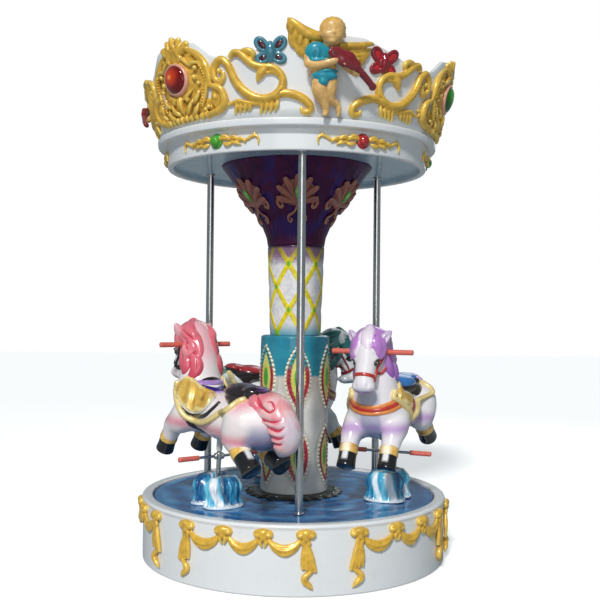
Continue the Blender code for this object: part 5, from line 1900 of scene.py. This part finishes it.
def ringed(path, width, thick):
    """A strap that closes on itself."""
    spine = HORSE.settle(np.array(path), .0005)
    section = np.array(STRAP) * (1.0, thick / .24)
    closed = np.vstack([spine[-1:], spine, spine[:1]])
    ahead = (closed[2:] - closed[:-2])
    ahead /= np.linalg.norm(ahead, axis=1, keepdims=True)
    aim = HORSE.slope(spine)
    side = np.cross(aim, ahead)
    side /= np.linalg.norm(side, axis=1, keepdims=True)
    across = np.broadcast_to(width, len(spine))[:, None, None] * section[None, :, :1]
    return loft(spine[:, None] + across * side[:, None] + section[None, :, 1:] * aim[:, None], True)


GOLD_CLOTH = brushed_and_shaded("gold_cloth", (.82, .52, .1), (.26, .11, .02), (1.0, .84, .4), .22, .2)
BLACKISH = brushed_and_shaded("dark_leather", (.02, .014, .016), (.004, .004, .004), (.12, .09, .1), .22, coat=.5)
LEATHER = "bridle"


# %% Paint for a coat
def coat_paint(name, light, blush, shade_and_mouth):
    """Smooth lacquer with airbrushed blushes at the joints, grey-blue painted shade underneath, a painted
    shadow of the head down the chest, and painted shade in the hollows.
    """
    paint = Paint(name, light, .16, coat=.5)
    where = paint.mark("local", "Vector")
    f, s, z = paint.split(where)
    cloud = where.noise(7.0, 3.0)
    streak = where.noise(44.0, 4.0, .6)
    wide = s.math("ABSOLUTE")
    knees = (z + .03 * cloud).band(.66, .7, .028) * .85
    rump = (f + .04 * cloud).band(-.345, -.27, .045) * z.rise(.76, .83) * .8
    cheeks = (z + .05 * cloud).rise(.93, 1.04) * (1 - f.rise(.3, .36)) * .6
    tone = (cloud.rise(.45, .75) * .12 + knees + rump + cheeks).mix(light, blush)
    # Painted shade under the belly and behind the haunch, and a painted shadow of the head down the middle of
    # the chest.
    low = (1 - z.rise(.6, .665)) * (1 - wide.rise(.045, .075))
    chest = f.rise(.2, .26) * (1 - z.rise(.8, .9)) * (1 - wide.rise(.035, .06))
    haunch = (1 - (f + .03 * cloud).rise(-.3, -.225)) * (1 - z.rise(.675, .78)) * (1 - wide.rise(.085, .13))
    tone = (low * .7 + chest * .5 + haunch * .85).mix(tone, (.2, .25, .44))
    # Painted shade: the hollows darken. The same colour draws the mouth line.
    tone = (paint.mark("hollow").rise(.1, .8) * .7).mix(tone, shade_and_mouth)
    mouth = f.rise(.345, .355) * z.band(.836, .845, .003)
    tone = (mouth * .8).mix(tone, shade_and_mouth)
    paint.lay(Base_Color=tone, Roughness=.12 + .14 * streak)
    return paint.bump(cloud + .12 * streak, .003, .3)


# %% Paint for hair
def hair_paint(name, dark, middle, light):
    """Airbrushed locks, darker below and light at the poll, with painted shade in the grooves and a painted
    highlight on the crests.
    """
    paint = Paint(name, middle, .18, coat=.5)
    where = paint.mark("local", "Vector")
    f, s, z = paint.split(where)
    cloud = where.noise(13.0, 3.0)
    hollow = paint.mark("hollow")
    parting = (s + .01 * cloud).band(-.024, .034, .02) * f.rise(.29, .33)
    tail = 1 - f.rise(-.3, -.2)
    tone = (cloud + .3 * tail + .7 * parting).rise(.5, .95).mix(middle, light)
    # Painted highlight: the crests turn light.
    tone = ((.25 * cloud - hollow).rise(.3, .95) * (.35 + .5 * tail)).mix(tone, light)
    # Painted shade: a pale grey-blue at the back and the bottom of the tail.
    cool = tail * (1 - (f + .04 * cloud).rise(-.53, -.475)) + tail * (1 - (z + .03 * cloud).rise(.635, .68))
    tone = (cool * .7).mix(tone, (.66, .7, .8))
    blush = tail * (f + .8 * z + .05 * cloud).rise(.245, .32) * f.band(-.43, -.33, .03)
    tone = (blush * .8 + tail * cloud.rise(.55, .7) * .35).mix(tone, middle)
    jaw = (1 - (z + .03 * cloud).rise(.89, 1.0)) * (1 - tail)
    tone = (jaw * .8).mix(tone, dark)
    # Painted shade: the grooves take the dark colour.
    tone = (hollow + .2 * cloud + .06 * tail).rise(.1, .42).mix(tone, dark)
    paint.lay(Base_Color=tone, Roughness=.14 + .2 * cloud)
    return paint.bump(where.noise(60.0, 3.0), .001, .35)


# %% Paint for a seat
def pad_paint(name, colour, bright):
    """The horse's own colour on the seat's inner half and top, and black painted shade on the outer half and
    below.
    """
    paint = Paint(name, (.02, .014, .016), .16, coat=.6)
    where = paint.mark("local", "Vector")
    _, s, z = paint.split(where)
    cloud = where.noise(11.0, 3.0)
    # Painted shade: outside the inner half and below the top, the seat is black.
    unshaded_side = (1 - (s + .05 * cloud).rise(.01, .06)) * (z + .02 * cloud).rise(.855, .878)
    tone = unshaded_side.mix((.018, .012, .014), colour)
    tone = (unshaded_side * cloud.rise(.5, .8) * .5).mix(tone, bright)
    paint.lay(Base_Color=tone, Roughness=.14 + .2 * cloud)
    return paint.bump(cloud, .003, .4)


# %% Three palettes
PALETTES = [dict(coat=coat_paint("horse_pink", (.88, .8, .79), (.84, .26, .34), (.52, .12, .2)),
        mane=hair_paint("mane_pink", (.6, .045, .09), (.78, .16, .21), (.88, .56, .55)),
        bridle=brushed_and_shaded("bridle_black", (.02, .014, .016), (.004, .004, .004), (.14, .09, .1), .2, coat=.6),
        band=brushed_and_shaded("band_lavender", (.42, .26, .6), (.2, .08, .34), (.74, .66, .86), .2, coat=.5),
        core=brushed_and_shaded("band_indigo", (.035, .02, .2), (.01, .006, .08), (.16, .1, .42), .2, coat=.5),
        seat=pad_paint("saddle_purple", (.12, .04, .19), (.34, .18, .44))),
        dict(coat=coat_paint("horse_lilac", (.84, .8, .82), (.46, .24, .58), (.3, .16, .46)),
        mane=hair_paint("mane_violet", (.22, .05, .38), (.5, .22, .6), (.86, .74, .84)),
        bridle=brushed_and_shaded("bridle_red", (.56, .04, .03), (.16, .01, .01), (.86, .24, .14), .2, coat=.6),
        band=brushed_and_shaded("band_orange", (.86, .3, .07), (.4, .08, .02), (.98, .62, .26), .2, coat=.5),
        core=brushed_and_shaded("band_red", (.6, .04, .03), (.2, .01, .01), (.9, .26, .16), .2, coat=.5),
        seat=brushed_and_shaded("saddle_blue", (.04, .2, .54), (.01, .05, .18), (.26, .5, .8), .2, coat=.6)),
        dict(coat=coat_paint("horse_white", (.84, .86, .86), (.62, .72, .72), (.24, .4, .42)),
        mane=hair_paint("mane_teal", (.008, .05, .055), (.025, .16, .16), (.22, .42, .4)),
        bridle=brushed_and_shaded("bridle_maroon", (.26, .02, .03), (.07, .004, .006), (.55, .14, .12), .2, coat=.6),
        band=brushed_and_shaded("band_maroon", (.32, .03, .05), (.08, .005, .01), (.62, .22, .16), .2, coat=.5),
        core=brushed_and_shaded("band_gold", (.7, .42, .08), (.26, .11, .02), (.98, .8, .36), .2, coat=.5),
        seat=pad_paint("saddle_maroon", (.36, .02, .03), (.62, .1, .1))), ]

# %% Three horses
HAIR_SHAPES, EARS, LOOK, FEET, TACK = [mane(), tail()], ears(), eyes(), hooves(), tack()
SEAT, PAD = saddle(), seat_pad()
for shape in [BODY, PAD, *EARS, *HAIR_SHAPES]:
    shape.marks["local"] = shape.points.copy()
for seat, colours in zip(SEATS, PALETTES):
    def paint_of(key):
        return {None: colours["band"], "core": colours["core"], "bridle": colours["bridle"],
                "pale": SLEEVE}.get(key, key)
    number = seat.number
    piece(f"horse_body_{number}", [BODY.moved(seat)] + [ear.moved(seat) for ear in EARS], colours["coat"],
          seat.body, [f"horse_{number}"])
    piece(f"horse_hair_{number}", [shape.moved(seat) for shape in HAIR_SHAPES], colours["mane"], seat.body)
    fittings = LOOK + FEET + TACK
    piece(f"horse_tack_{number}", [shape.moved(seat) for shape, _ in fittings],
          [paint_of(paint) for _, paint in fittings], seat.body)
    piece(f"horse_saddle_{number}", [SEAT.moved(seat), PAD.moved(seat)], [BLACKISH, colours["seat"]],
          seat.body, [f"saddle_{number}"])

# %% [markdown]
# ## Floor, light and camera
# A pale floor and a pale world stand for the studio. A soft sun high in front throws the shadows
# that fall down and back, a weak lamp fills from low in front, and one behind lights the rims.


# %% The studio
def studio():
    floor = bpy.data.meshes.new("studio_floor")
    floor.from_pydata([(-14, -10, 0), (14, -10, 0), (14, 22, 0), (-14, 22, 0)], [], [(0, 1, 2, 3)])
    ground = bpy.data.objects.new("studio_floor", floor)
    bpy.context.scene.collection.objects.link(ground)
    paper = Paint("studio_paper", (.86, .86, .86), .9, Specular_IOR_Level=0.0)
    near = paper.place().noise(2.0).mix((.95, .95, .945), (.92, .92, .92))
    seen = paper.node("ShaderNodeLightPath")
    paper.lay(Base_Color=seen.mix((.4, .43, .45), near), Emission_Color=seen.mix((0.0, 0.0, 0.0),
            (.34, .34, .34)), Emission_Strength=1.0)
    floor.materials.append(paper.material)
    world = bpy.data.worlds.new("studio")
    world.use_nodes = True
    sky = Wiring(world.node_tree)
    seen = sky.node("ShaderNodeLightPath", None)
    glow = world.node_tree.nodes["Background"]
    sky.feed(glow.inputs["Color"], seen.mix((.8, .93, 1.0), (1.0, 1.0, 1.0)))
    sky.feed(glow.inputs["Strength"], seen * .76 + .24)
    bpy.context.scene.world = world
    bpy.context.scene.view_settings.view_transform = "Standard"
    for name, kind, power, size, place in (("key", "SUN", 2.42, .13, (-1.1, -4.7, 4.7)),
            ("fill", "AREA", 34, 2.6, (-.2, -5.2, 1.5)), ("back", "AREA", 40, 3.0, (1.5, 4.2, 3.8))):
        lamp = bpy.data.lights.new(name, kind)
        lamp.energy = power
        if kind == "SUN":
            lamp.angle = size
        else:
            lamp.size = size
        stand = bpy.data.objects.new(name, lamp)
        stand.location = place
        stand.rotation_euler = (Vector((0, 0, 1.2)) - Vector(place)).to_track_quat("-Z", "Y").to_euler()
        bpy.context.scene.collection.objects.link(stand)


# %% The camera at the photograph's angle
def camera():
    lens = bpy.data.cameras.new("camera")
    lens.sensor_width, lens.lens = 36.0, 52.595
    view = bpy.data.objects.new("camera", lens)
    yaw, pitch, roll = .0075, .0169, .0097
    right = Vector((math.cos(yaw), -math.sin(yaw), 0))
    level = Vector((math.sin(yaw), math.cos(yaw), 0))
    ahead = level * math.cos(pitch) + Vector((0, 0, 1)) * math.sin(pitch)
    up = Vector((0, 0, 1)) * math.cos(pitch) - level * math.sin(pitch)
    tilted = right * math.cos(roll) + up * math.sin(roll)
    up = up * math.cos(roll) - right * math.sin(roll)
    turn = Matrix((tilted, up, -ahead)).transposed().to_4x4()
    view.matrix_world = Matrix.Translation((-.0108, -4.427, 1.1828)) @ turn
    bpy.context.scene.collection.objects.link(view)
    bpy.context.scene.camera = view


studio()
camera()
